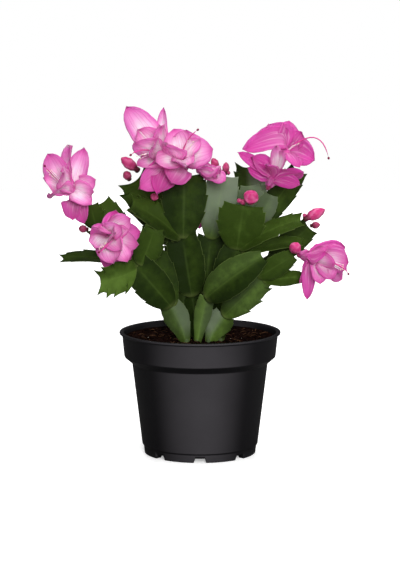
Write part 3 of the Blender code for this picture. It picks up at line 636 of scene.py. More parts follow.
def scattered(dice, bits):
    """Small lumps that lie on the peat."""
    shape = start_shape()
    for number in range(bits.count):
        x, y = scattered_spot(dice, bits.widest)
        size = between(bits.smallest, bits.largest, dice.random() ** 2) * MM
        lump = bmesh.ops.create_icosphere(shape, subdivisions=1, radius=size / 2)["verts"]
        turn = Matrix.Rotation(dice.uniform(0, FULL_TURN), 3, "Z")
        turn = turn @ Matrix.Rotation(dice.uniform(0, LUMP_TILT), 3, "X")
        for vert in lump:
            push = 1 + LUMP_ROUGHNESS * noise.noise(vert.co / size * 1.7 + Vector((number, 0, 0)))
            stretched = vert.co * Vector((LUMP_LENGTH, LUMP_WIDTH, bits.height)) * push
            vert.co = turn @ stretched + Vector((x, y, soil_height(x, y) + size * 0.2))
    return shape


def add_fibre(shape, dice):
    x, y = scattered_spot(dice, FIBRES_WIDEST)
    heading = dice.uniform(0, FULL_TURN)
    reach = dice.uniform(3, 9) * MM
    bend = dice.uniform(-0.5, 0.5)
    thick = dice.uniform(0.12, 0.3) * MM

    def path(share):
        way = heading + bend * share
        fibre_x = x + cos(way) * reach * share
        fibre_y = y + sin(way) * reach * share
        arch = 0.5 + sin(pi * min(1, max(0, share)))
        return Vector((fibre_x, fibre_y, soil_bowl(fibre_x, fibre_y) + arch * MM))

    add_round(shape, 6, 4, path, lambda share, turn: thick * sin(pi * share), FIBRE_SIDE)


dice = random.Random(11)
crumbs = finish_piece("peat_crumbs", scattered(dice, CRUMBS), peat_finish, "soil")

fibre_shape = start_shape()
for number in range(FIBRE_COUNT):
    add_fibre(fibre_shape, dice)
look = Finish("peat_fibre", "6b4a30", 500, 90)
colour = look.mixed(look.clouds, "2a190f", "553a25")
fibre_finish = look.done(colour, look.scaled(look.grain, 0.2, 0.7))
fibres = finish_piece("peat_fibres", fibre_shape, fibre_finish, "soil")

look = Finish("perlite_white", "d8d4c8", 1500, 400)
colour = look.mixed(look.clouds, "8f897b", "c9c5ba")
perlite_finish = look.done(colour, look.scaled(look.grain, 0.2, 0.75), bump=(look.grain, 0.5, 0.4))
perlite = finish_piece("perlite_bits", scattered(dice, PERLITE), perlite_finish, "soil")
print("crumbs, fibres and perlite:", [len(piece.data.polygons) for piece in (crumbs, fibres, perlite)])

# %% [markdown]
# ## How the pads grow
# Each stem is a list of pads. A pad is named, grows from a place on its parent's tip, and reaches to a tip
# of its own with some width, turn and bow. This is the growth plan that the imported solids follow, so that
# the finer pads lie in them.

# %% The growth plan
# Segment(name, tip, width, turn, bow, parent, at), in millimetres and degrees. The lowest pad of a stem has
# no parent; at is the place (along, across) on the parent where the pad grows out of it
Segment = namedtuple("Segment", "name tip width turn bow parent at", defaults=(None, (0.93, 0.0)))

# A stem is (the place where it leaves the peat, its pads as rows of Segment)
STEMS = {
    "stem_left_front": ((-10, -13), (
        ("a1", (-22, -16, 114), 19, 0, -0.04),
        ("a2", (-48, -24, 145), 26, 0, 0.05, "a1"),
        ("a3", (-36, -4, 154), 22, 20, -0.03, "a1", (0.9, 0.3)),
        ("a4", (-34, -22, 171), 22, 25, 0.06, "a2", (0.93, 0.4)),
        ("a5", (-73, -43, 135), 24, -25, 0.1, "a2", (0.93, -0.3)),
        ("a9", (-59, -17, 164), 15, 0, 0.03, "a2"),
    )),
    "stem_left_back": ((-12, -3), (
        ("l1", (-28, 12, 118), 15, 0, 0.03),
        ("l2", (-54, 10, 144), 18, 0, 0.04, "l1"),
        ("a6", (-103, 2, 145), 20, 62, 0.05, "l2", (0.93, -0.5)),
        ("a7", (-79, 6, 169), 19, 10, -0.04, "l2"),
        ("a8", (-81, 2, 186), 17, 0, 0.04, "a7", (0.93, 0.1)),
        ("a10", (-74, 14, 187), 22, 10, 0.04, "l2", (0.9, 0.6)),
    )),
    "stem_centre": ((-2, -3), (
        ("m0", (-6, 3, 119), 15, 0, 0.02),
        ("m1", (-13, 2, 164), 28, -8, 0.03, "m0"),
        ("m2", (-12, 6, 208), 34, 5, 0.05, "m1"),
        ("m3", (-51, -14, 188), 24, 45, 0.06, "m1", (0.93, -0.4)),
        ("m4", (-49, 17, 203), 31, 0, 0.03, "m1", (0.91, -0.7)),
    )),
    "stem_centre_front": ((-2, -15), (
        ("c1", (5, -20, 121), 13, 0, -0.03),
        ("c2", (47, -34, 152), 26, -10, 0.12, "c1"),
    )),
    "stem_right_front": ((6.5, -12.5), (
        ("r1", (18, -15, 106), 20, 0, -0.04),
        ("r2", (47, -20, 135), 22, 0, 0.04, "r1"),
        ("r3", (69, -26, 152), 16, 0, 0.06, "r2", (0.93, -0.5)),
        ("r4", (78, -20, 134), 13, -30, 0.05, "r2", (0.93, 0.4)),
    )),
    "stem_right": ((15, -6), (
        ("v0", (17, -2, 119), 15, 0, 0.02),
        ("v1", (28, -2, 156), 26, 0, 0.03, "v0"),
        ("v2", (32, -14, 188), 35, 0, 0.05, "v1"),
        ("v3", (75, -20, 177), 17, -40, 0.08, "v1", (0.93, 0.4)),
        ("v4", (76, -12, 159), 18, -58, 0.04, "v1", (0.88, 0.7)),
        ("w1", (54, 12, 144), 13, 0, 0.03, "v0", (0.93, 0.3)),
        ("w2", (82, 16, 168), 20, 0, 0.03, "w1"),
    )),
    "stem_right_back": ((6, 3), (
        ("g0", (4, 10, 120), 15, 0, 0.02),
        ("g1", (8, 13, 162), 28, 0, 0.02, "g0"),
        ("g2", (19, 14, 207), 26, -5, 0.03, "g1"),
        ("x1", (26, 20, 147), 18, 0, 0.03, "g0", (0.92, 0.4)),
        ("x2", (42, 18, 170), 19, 0, 0.03, "x1"),
        ("h1", (37, 8, 200), 21, 0, 0.05, "x2", (0.93, -0.3)),
        ("h2", (36, 27, 212), 24, 10, 0.04, "x2", (0.93, -0.4)),
        ("h3", (53, 8, 193), 16, 10, 0.05, "x2", (0.93, 0.3)),
        ("h4", (74, 30, 209), 20, 0, 0.04, "x2", (0.9, 0.5)),
    )),
    "stem_back_left": ((-9, 9), (
        ("d1", (-13, 30, 118), 16, 0, 0.04),
        ("d2", (-17, 46, 156), 27, 170, 0.05, "d1"),
        ("d3", (-8, 56, 190), 26, 180, 0.05, "d2"),
        ("d4", (-36, 62, 172), 23, 165, 0.08, "d2", (0.93, 0.5)),
        ("d5", (-8, 72, 168), 18, 180, 0.08, "d2", (0.93, -0.3)),
    )),
    "stem_back_right": ((8, 13), (
        ("e1", (14, 34, 115), 16, 0, 0.04),
        ("e2", (26, 50, 148), 26, 180, 0.06, "e1"),
        ("e3", (24, 58, 184), 25, 175, 0.05, "e2"),
        ("e4", (48, 66, 160), 22, 190, 0.08, "e2", (0.93, -0.5)),
    )),
}
STEM_START_HEIGHT = 88.2 * MM
FOLD = 0.13  # how far a pad is folded along its midrib, as the slope of its two halves
TIP_SPREAD = 0.5  # how far out on the parent's half width a pad with across 1 grows
SOLID_TIP = (0.97, 1.04, 0.46)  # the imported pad's tip: places of its midrib and horns, half width there
FRONT = Vector((0, -1, 0.14))


class Blade:
    """The middle surface of a pad or petal: a curved spine and a direction across it."""

    def __init__(self, base, control, tip, face):
        self.base = base
        self.control = control
        self.tip = tip
        self.length = (tip - base).length
        self.across = (tip - base).cross(face).normalized()

    def frame(self, along):
        """The point on the spine and the direction out of the face there."""
        heading = (self.control - self.base) * (1 - along) + (self.tip - self.control) * along
        return curved(self.base, self.control, self.tip, along), self.across.cross(heading).normalized()


def segment_blade(segment, base):
    """The blade of a pad. It faces the front as nearly as its growth allows, and is then turned."""
    tip = Vector(segment.tip) * MM
    growth = (tip - base).normalized()
    face = (FRONT - growth * FRONT.dot(growth)).normalized()
    face = Matrix.Rotation(radians(segment.turn), 3, growth) @ face
    control = (base + tip) / 2 + face * segment.bow * 2 * (tip - base).length
    return Blade(base, control, tip, face)


BLADES = {}  # each pad's blade and width
for root, rows in STEMS.values():
    for segment in (Segment(*row) for row in rows):
        if segment.parent is None:
            base = Vector((root[0] * MM, root[1] * MM, STEM_START_HEIGHT))
        else:
            parent, parent_width = BLADES[segment.parent]
            along, across = segment.at
            point, out = parent.frame(along)
            base = point + parent.across * across * TIP_SPREAD * parent_width / 2
            base = base + out * FOLD * abs(across) * TIP_SPREAD * parent_width / 2
        BLADES[segment.name] = (segment_blade(segment, base), segment.width * MM)
print("pads to grow:", len(BLADES))

# %% [markdown]
# ## The outline of a pad
# A pad starts as a narrow neck, swells into two or three shoulders on each side, and ends in a cut-off tip
# between two horns. Each shoulder ends in a claw that points forward, with a notch behind it. The claws of
# the two sides don't stand level, and no two pads are alike. The outline is a row of lobes: each rises out
# of its notch, follows the body of the pad, and hooks outward and forward at its end. The lowest pads
# differ: they taper towards the peat, and a keel runs along their middle.

# %% Shape the pads
LOBE_ENDS = (0.0, 0.36, 0.64, 0.87, 1.0)
LOBE_ROWS = (14, 11, 9, 7)
PAD_ROWS = sum(LOBE_ROWS)
PAD_COLUMNS = 18
RIB_THICKNESS = 2.3 * MM
EDGE_THICKNESS = 0.55 * MM
NECK_THICKNESS = 3.2 * MM
NECK_LENGTH = 0.2  # as a share of the pad
TIP_THINNING = 0.55
RIDGE_HEIGHT = 0.16 * MM
RIDGE_WIDTH = 1.9 * MM
FOLD_ROUNDING = 1.2 * MM
ROOT_DEPTH = 4.0 * MM
ROOT_NECK = 0.34
ROOT_GROWTH = 1.2  # how slowly the half width grows from the neck on: more is slower
GROWTH = 0.65
ROOT_FOLD = -0.42
SKIN_FOLD = FOLD + 0.10
CLAW_START = 0.62  # the share of a lobe after which its claw hooks outward
CLAW_CURVE = 2.2
TIP_CURVE = 2.3
MIDRIB_END = 0.972  # the cut-off tip stands a little back between its horns
MARGIN_END = 0.99
COLUMN_DRAW = 0.55
SLOW_WAVE = (5, 0.9)  # (turns along the pad in radians, height in millimetres)
FAST_WAVE = (9, 0.6)
WAVE_SHIFT = 3
SKIN_LUMPS = (7 * MM, 0.35)  # their size, and their height in millimetres
# A pad's form: place of its widest part, half width at its tip, strength of its claws
FORMS = {
    "a1": (0.6, 0.74, 0.2), "a2": (0.55, 0.8, 0.4), "a3": (0.55, 0.6, 0.7), "a4": (0.5, 0.6, 1.1),
    "a5": (0.55, 0.62, 2.1), "a6": (0.5, 0.5, 0.8), "a7": (0.55, 0.6, 1.5), "a8": (0.55, 0.62, 1.4),
    "c1": (0.6, 0.78, 0.12), "c2": (0.48, 0.36, 0.12), "r1": (0.62, 0.76, 0.35), "r2": (0.55, 0.66, 1.5),
    "r3": (0.5, 0.52, 0.2), "r4": (0.5, 0.52, 0.15), "m1": (0.5, 0.72, 0.35), "m2": (0.68, 0.8, 0.6),
    "m3": (0.55, 0.6, 1.2), "m4": (0.6, 0.66, 1.5), "v1": (0.55, 0.7, 0.3), "v2": (0.72, 0.78, 0.7),
    "v3": (0.5, 0.6, 0.6), "v4": (0.5, 0.5, 0.15), "w2": (0.55, 0.7, 0.7), "g2": (0.62, 0.74, 0.4),
    "h2": (0.6, 0.74, 1.5), "h3": (0.6, 0.6, 0.3), "h4": (0.55, 0.66, 0.7),
}
MIDDLE_FORM = (0.55, 0.62, 0.6)


class PadOutline:
    """The half width and the forward slip of both margins of one pad, from its neck to its tip."""

    def __init__(self, name, rooted):
        dice = random.Random(name)
        self.widest, self.tip, claws = FORMS.get(name, MIDDLE_FORM)
        self.neck = ROOT_NECK if rooted else dice.uniform(0.15, 0.19)
        self.growth = ROOT_GROWTH if rooted else GROWTH
        self.sides = {}
        for side in (-1, 1):
            ends = [end + dice.uniform(-0.04, 0.04) if 0 < end < 1 else end for end in LOBE_ENDS]
            hooks = [dice.uniform(0.07, 0.12) * claws for end in ends]
            slips = [dice.uniform(0.035, 0.06) * claws for end in ends]
            notches = [dice.uniform(0.03, 0.09) for end in ends]
            self.sides[side] = (ends, hooks, slips, notches)
        self.waves = [dice.uniform(-1, 1) for number in range(5)]

    def body(self, along):
        """The smooth half width that the lobes lean on."""
        if along < self.widest:
            return between(self.neck, 1.0, sin(along / self.widest * pi / 2) ** self.growth)
        return between(1.0, self.tip, ((along - self.widest) / (1 - self.widest)) ** TIP_CURVE)

    def lobe(self, row, side):
        """(place of the midrib, place of the margin, body half width, margin half width) at a row."""
        left = row
        for number, rows in enumerate(LOBE_ROWS):
            if left <= rows:
                break
            left -= rows
        share = left / rows
        nominal = between(LOBE_ENDS[number], LOBE_ENDS[number + 1], share)
        ends, hooks, slips, notches = self.sides[side]
        place = between(ends[number], ends[number + 1], share)
        body = self.body(place)
        hook = max(0.0, (share - CLAW_START) / (1 - CLAW_START)) ** CLAW_CURVE
        dip = notches[number] * (1 - share) ** 3 if number else 0.0
        half = body * (1 - dip) + hooks[number + 1] * hook
        return nominal * MIDRIB_END, place * MARGIN_END + slips[number + 1] * hook, body, half


def spread_columns(across):
    """Draws the columns towards the margin, where the pad curves most."""
    size = abs(across)
    return copysign(between(size, sin(size * pi / 2), COLUMN_DRAW), across)


def pad_thickness(place, size):
    """How thick a pad is at a place along it, at a distance of 0 to 1 from its midrib."""
    lens = between(RIB_THICKNESS, EDGE_THICKNESS, size ** 1.7)
    neck = NECK_THICKNESS * sqrt(max(0.02, 1 - 0.75 * size ** 2))
    lens = between(neck, lens, eased(place / NECK_LENGTH))
    return lens * between(1.0, TIP_THINNING, eased((place - 0.88) / 0.12))


def add_pad(shape, name, rooted, tones):
    blade, width = BLADES[name]
    outline = PadOutline(name, rooted)
    # the halves' lightness is mostly painted light and shade, and their grey is partly a painted sheen
    light_left, light_right, bloom_and_sheen_left, bloom_and_sheen_right = (*tones, 0, 0)[:4]
    waves = outline.waves
    slope = ROOT_FOLD if rooted else SKIN_FOLD
    buried = ROOT_DEPTH if rooted else 0.0

    def wave(place, across, offset):
        size = abs(across)
        slow = waves[0] * sin(place * SLOW_WAVE[0] + waves[1] * WAVE_SHIFT)
        fast = waves[2] * sin(place * FAST_WAVE[0] + waves[3] * WAVE_SHIFT)
        height = slow * size ** 2 * across * SLOW_WAVE[1] + fast * size ** 3 * FAST_WAVE[1]
        spot = Vector((place * blade.length, offset, waves[4] * 0.1))
        height += noise.noise(spot / SKIN_LUMPS[0]) * SKIN_LUMPS[1]
        return height * eased(place / 0.25) * MM

    def put(along, across, side):
        row = along * PAD_ROWS
        across = spread_columns(across)
        size = abs(across)
        rib, margin, body, half = outline.lobe(row, 1 if across > 0 else -1)
        other = outline.lobe(row, -1 if across > 0 else 1)[2]
        body = between((body + other) / 2, body, size)
        place = between(rib, margin, size ** 2.6)
        offset = (across * body + copysign(size ** 5, across) * (half - body)) * width / 2
        point, out = blade.frame(place)
        ridge = RIDGE_HEIGHT * exp(-(offset / RIDGE_WIDTH) ** 2) * (1 - eased((place - 0.8) / 0.2))
        fold = slope * (hypot(offset, FOLD_ROUNDING) - FOLD_ROUNDING)
        lift = fold + wave(place, across, offset) + side * (pad_thickness(place, size) / 2 + ridge)
        sunk = Vector((0, 0, buried * (1 - eased(place / 0.3))))
        return point - sunk + blade.across * offset + out * lift

    def right_share(across):
        """0 on the left half to 1 on the right half, with a short change at the midrib."""
        return eased(across * 4 - 1.5)

    # how light a point is: mostly painted light and shade, partly the pad's own tone
    def tone(along, across):
        return between(light_left, light_right, right_share(across))

    # how grey a point is: partly a waxy bloom and partly a painted sheen
    def grey(along, across):
        return between(bloom_and_sheen_left, bloom_and_sheen_right, right_share(across)) * eased(along * 3)

    add_sheet(shape, PAD_ROWS, PAD_COLUMNS, put, tone=tone, pale=grey)


print("rows and columns of a pad:", PAD_ROWS, PAD_COLUMNS)

# %% [markdown]
# ## The skin of the pads
# The skin is a waxy dark green. The lightness of each pad and of each half of a pad is partly its own tone,
# as young pads are brighter, and mostly painted light and shade: halves and pads that turn from the light or
# lie in shade are painted darker, and those that catch it are painted brighter. Some pads carry grey, partly
# a waxy bloom and partly a painted sheen. The skin is painted darker towards its margins and lighter along
# the midrib, as shade on a rounded pad, and the midrib carries a faint painted highlight. The thin margin is
# paler, partly its own colour and partly a painted highlight, and the skin dulls towards the neck. Each pad
# keeps its own tone in an attribute, so that one finish serves the whole plant.

# %% Finish the skin
look = Finish("pad_skin", "4a6428", 1300, 160)
along, from_rib = look.sheet_places()
# grey: partly a waxy bloom and partly a painted sheen
grey = look.attribute("pale")
# painted light and shade of each pad and each half, partly the pad's own tone
light = look.scaled(look.attribute("tone"), 0.5, 0.5)
light = look.math("ADD", light, look.scaled(look.clouds, 0.5, -0.29))
# painted shade: darker towards the margins and lighter along the midrib
light = look.math("ADD", light, look.scaled(from_rib, -0.24, 0.12))
# a faint painted highlight along the midrib
midrib = look.product(look.ranged(from_rib, 0.075, 0.0), look.ranged(along, 0.98, 0.55))
# a paler margin, partly its own colour and partly a painted highlight
margin = look.ranged(from_rib, 0.93, 1.0)
neck = look.ranged(along, 0.1, 0.0)
# dark to bright green, following the painted light and shade in light
colour = look.layered(
    look.mixed(look.ranged(light, 0.0, 0.5), "18240a", "2e3f13"),
    (look.ranged(light, 0.5, 1.0), 1.0, "516a2a"),
    (grey, 0.75, "727d6b"), (midrib, 0.05, "86a552"), (margin, 0.2, "8fa65c"), (neck, 0.4, "5f6b3a"),
)
rough = look.math("ADD", look.scaled(look.clouds, 0.2, 0.3), look.product(grey, 0.08))
relief = look.scaled(look.grain, 0.25, look.veins(15, 54, 3.0))
skin_finish = look.done(colour, rough, bump=(relief, 0.35, 0.5), inner_light=(0.04, (0.6, 1.0, 0.3)),
                        Specular_IOR_Level=0.1)
print("skin nodes:", len(look.tree.nodes))

# %% Grow every stem
# A pad's tones: how light its left and right halves are, mostly painted light and shade and partly their own
# tone, then how grey they are, where they are grey at all, partly a waxy bloom and partly a painted sheen
TONES = {
    "a1": (0.25, 0.1, 0.1, 0.5), "a2": (-0.75, -0.55), "a3": (-0.6, -0.45), "a4": (-0.25, -0.1),
    "a5": (0.75, 0.4), "a6": (-0.4, -0.4), "a7": (-0.35, -0.25), "a8": (-0.3, -0.1), "a9": (-0.5, -0.5),
    "a10": (-0.3, -0.1), "l1": (-0.8, -0.7), "l2": (-0.8, -0.7), "m0": (-0.8, -0.7), "m1": (-1.2, -0.5),
    "m2": (-0.75, -0.55), "m3": (-0.45, 0), "m4": (-0.35, -0.2), "c1": (0.7, 0.35, 0.1, 0.2),
    "c2": (0.3, -0.75, 0.05, 0), "r1": (0.4, 0.5, 0.8, 0.05), "r2": (-0.3, 0.35, 0.1, 0.05),
    "r3": (0.05, -0.2), "r4": (0.05, 0.05), "v0": (-0.7, -0.6), "v1": (-0.7, -0.6), "v2": (-0.05, 0.1),
    "v3": (0.15, 0.1), "v4": (0.1, 0), "w1": (-0.7, -0.6), "w2": (-0.5, -0.35), "g0": (-0.8, -0.8),
    "g1": (-0.8, -0.7), "g2": (0.3, 0.35, 0.9, 1.0), "x1": (-0.7, -0.7), "x2": (-0.7, -0.5, 0, 0.1),
    "h1": (0.1, 0.2, 0.5, 0.7), "h2": (-0.6, 0.1, 0, 0.7), "h3": (0.1, 0.25, 0.4, 0.6), "h4": (-0.6, -0.4),
}
MIDDLE_TONES = (0.0, 0.05, 0.05, 0.1)
PEG_RADIUS = 2.4 * MM
PEG_DEPTH = 8.0 * MM
PEG_SWELL = ((0.0, 0.0), (0.04, 0.9), (0.6, 1.0), (0.9, 0.75), (1.0, 0.0))
PEG_RIBS = 18.85  # radians round the peg: three ribs
PEG_RIB_DEPTH = 0.06


def add_peg(shape, root):
    """The woody foot of a stem, from deep in the peat up to the neck of the lowest pad."""
    start = Vector((root[0] * MM, root[1] * MM, STEM_START_HEIGHT - PEG_DEPTH))

    def radius(share, turn):
        return PEG_RADIUS * through(PEG_SWELL, share) * (1 + PEG_RIB_DEPTH * sin(turn * PEG_RIBS))

    add_round(shape, 12, 12, lambda share: start + Vector((0, 0, PEG_DEPTH)) * share, radius,
              Vector((1, 0, 0)), tone=0.1, pale=0.2)


stem_pieces = []
for stem_name, (root, rows) in STEMS.items():
    shape = start_shape()
    add_peg(shape, root)
    for segment in (Segment(*row) for row in rows):
        tones = TONES.get(segment.name, MIDDLE_TONES)
        add_pad(shape, segment.name, segment.parent is None, tones)
    stem_pieces.append(finish_piece(stem_name + "_skin", shape, skin_finish, "stem", stem_name))
print("stems and their faces:", {piece.name: len(piece.data.polygons) for piece in stem_pieces})

# %% [markdown]
# ## Where the flowers sit
# A flower or bud stands on the edge of a pad's tip, on one of its horns, or on a claw at its side. The rule
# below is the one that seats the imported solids.

# %% Seats for flowers and buds
# Seat(pad, across it from -1 to 1, along it for a seat at its side, millimetres closer than the rule)
Seat = namedtuple("Seat", "pad across along closer", defaults=(None, 0.0))
GAP = 0.3 * MM
FOOT_ROOM = (0.2, 1.1, 0.7)  # shares of the foot's radius: always, for its lean, for the notch of the tip


def seated(plan, foot):
    """Where a flower or bud with a foot of some radius starts, just clear of its pad, and where it points."""
    seat = plan.seat
    axis = Vector(plan.axis).normalized()
    blade, width = BLADES[seat.pad]
    rib, margin, half = SOLID_TIP
    along, across = seat.along, seat.across
    notch = 0.0
    if along is None:
        along = between(rib, margin, abs(across))
        heading = (blade.tip - blade.control).normalized() + blade.across * across ** 3
        if abs(across) < 1.0:
            notch = (margin - rib) * blade.length / (half * width / 2)
    else:
        half = 1.0
        heading = blade.across * across
    offset = across * half * width / 2
    point, out = blade.frame(along)
    heading = heading.normalized()
    lean = sqrt(max(0.0, 1 - heading.dot(axis) ** 2))
    room = FOOT_ROOM[0] + FOOT_ROOM[1] * lean + FOOT_ROOM[2] * notch
    clear = GAP + foot * room - seat.closer * MM
    return point + blade.across * offset + out * FOLD * abs(offset) + heading * clear, axis


print("the least gap under a flower, in mm:", round(GAP / MM, 1))

# %% [markdown]
# ## A petal
# A petal leaves the flower's tube as a narrow claw, follows the flower's axis, then bends out and widens,
# and ends in a point. It is cupped across its width, its edges ripple, and its tip curls back. It is under
# a millimetre thick, so it is a closed slab laid over a curved spine.

# %% Shape the petals
PETAL_ROWS = 18
PETAL_COLUMNS = 12
PETAL_THICKNESS = 0.5 * MM
PETAL_EDGE = 0.4  # shares of that thickness at its edges and at its foot
PETAL_FOOT = 1.8
PETAL_ROOT = 2.5 * MM
PETAL_WIDTH = ((0.0, 0.2), (0.22, 0.62), (0.42, 0.97), (0.6, 1.08), (0.78, 0.96), (0.9, 0.72), (0.97, 0.38),
               (1.0, 0.0))
CURL_START = 0.55
GROOVE_DEPTH = 0.8 * MM
GROOVE_WIDTH = 1.3 * MM
RIPPLED_WIDTH = 17  # narrower petals than this many millimetres are stiffer, and ripple less

# Petal(start along the tube, tip, width, lift, and where it differs, the share that it turns to the front)
Petal = namedtuple("Petal", "start tip width lift open_share", defaults=(None,))


def petal_blade(base, axis, petal, open_share, twist):
    """The spine and face of a petal; its face turns from the tube's mouth towards the front by a share."""
    root = base + axis * petal.start * MM
    tip = Vector(petal.tip) * MM
    reach = tip - root
    radial = (reach - axis * reach.dot(axis)).normalized()
    root = root + radial * PETAL_ROOT
    reach = tip - root
    face = (axis * reach.dot(radial) - radial * reach.dot(axis)).normalized()
    front = FRONT if face.dot(FRONT) > 0 else -FRONT
    face = face * (1 - open_share) + front * open_share
    heading = reach.normalized()
    face = (face - heading * face.dot(heading)).normalized()
    face = Matrix.Rotation(radians(twist), 3, heading) @ face
    return Blade(root, root + axis * petal.lift * reach.length, tip, face)


def add_petal(shape, base, axis, petal, dice, paleness, default_open=0.0, twist=0.0):
    open_share = default_open if petal.open_share is None else petal.open_share
    blade = petal_blade(base, axis, petal, open_share, twist)
    half = petal.width * MM / 2
    cup = dice.uniform(0.02, 0.34)
    curl = dice.uniform(0.0, 0.10)
    ripple = dice.uniform(0.7, 1.9) * MM * min(1.0, petal.width / RIPPLED_WIDTH) ** 2
    ripples = dice.uniform(7, 13)
    first_ripple = dice.uniform(0, FULL_TURN)
    skew = dice.uniform(-0.08, 0.08)

    def put(along, across, side):
        middle, out = blade.frame(along)
        offset = (across * through(PETAL_WIDTH, along) + skew * sin(along * pi)) * half
        size = abs(across)
        bend = cup * size ** 1.8 * half * sin(min(1.0, along * 1.25) * pi / 2)
        bend -= curl * max(0.0, along - CURL_START) ** 2 * 4 * blade.length
        bend += ripple * size ** 2 * sin(along * ripples + first_ripple + across) * eased(along * 2)
        bend -= GROOVE_DEPTH * exp(-(offset / GROOVE_WIDTH) ** 2) * sin(along * pi)
        thick = PETAL_THICKNESS * between(1.0, PETAL_EDGE, size ** 2)
        thick *= between(PETAL_FOOT, 1.0, eased(along * 4))
        return middle + blade.across * offset + out * (bend + side * thick / 2)

    add_sheet(shape, PETAL_ROWS, PETAL_COLUMNS, put, pale=paleness, tone=dice.uniform(-1, 1))


print("rows and columns of a petal:", PETAL_ROWS, PETAL_COLUMNS)

# %% [markdown]
# ## The colour of the petals
# The petals are deep magenta at their edges and tips, and fade to a pale pink along the middle. Fine darker
# veins and broad pale streaks run lengthwise. The petals are thin and moist, so some of the light goes
# through them and they have a soft shine. They also give off a weak pink glow of their own, a painted light
# that stands in for light from their neighbours.

# %% Finish the petals
# painted light: the petals glow faintly pink of their own
PAINTED_GLOW = 0.045  # a weak glow of the petal's own, in place of light from its neighbours

look = Finish("petal_magenta", "d95cae", 1800, 130)
along, from_middle = look.sheet_places()
veins = look.veins(2, 34, 2.0)
streaks = look.veins(1.2, 11, 1.0, shift=(3, 5, 0))
paleness = look.attribute("pale")
middle = look.ranged(look.math("ADD", from_middle, look.scaled(look.clouds, 0.5, -0.25)), 0.95, 0.15)
lengthwise = look.product(look.ranged(along, 0.08, 0.4), look.ranged(along, 1.0, 0.5))
glow = look.product(look.product(middle, lengthwise), paleness)
rim = look.math("MAXIMUM", look.ranged(from_middle, 0.72, 1.0), look.ranged(along, 0.86, 1.0))
streak_mask = look.product(look.ranged(streaks, 0.5, 0.7), look.ranged(along, 1.0, 0.6))
colour = look.layered(
    look.mixed(look.ranged(look.attribute("tone"), -1.0, 1.0), "aa1f7a", "bf358e"),
    (paleness, 0.85, "e184bd"),
    (look.ranged(glow, 0.0, 0.9), 1.0, "f0d6e6"),
    (rim, 0.75, "b0247b"),
    (streak_mask, 0.4, "efb6d8"),
    (look.ranged(veins, 0.46, 0.64), 0.5, "c23a92"),
    (look.attribute("foot"), 0.85, "7c2338"),
)
petal_finish = look.done(colour, look.scaled(look.grain, 0.15, 0.4), bump=(veins, 0.5, 0.9),
                         inner_light=(0.35, (5.0, 1.6, 3.4)), Specular_IOR_Level=0.35, Sheen_Weight=0.15,
                         Emission_Color="e056ae", Emission_Strength=PAINTED_GLOW)
print("petal nodes:", len(look.tree.nodes))

# %% [markdown]
# ## The blooms
# A bloom is a tube on a dark red foot, with short outer petals that bend back and long inner ones that stay
# with the tube before they open. Small scale-like petals press against the foot of the tube.

# %% Plan of the blooms
# Flower(seat, axis, tube, open_share, paleness, petals, stamens, style), in millimetres. The petals are rows
# of Petal, the stamens are (how many, the place that they aim at), and the style is (where it bends to, its
# tip)
Flower = namedtuple("Flower", "seat axis tube open_share paleness petals stamens style")

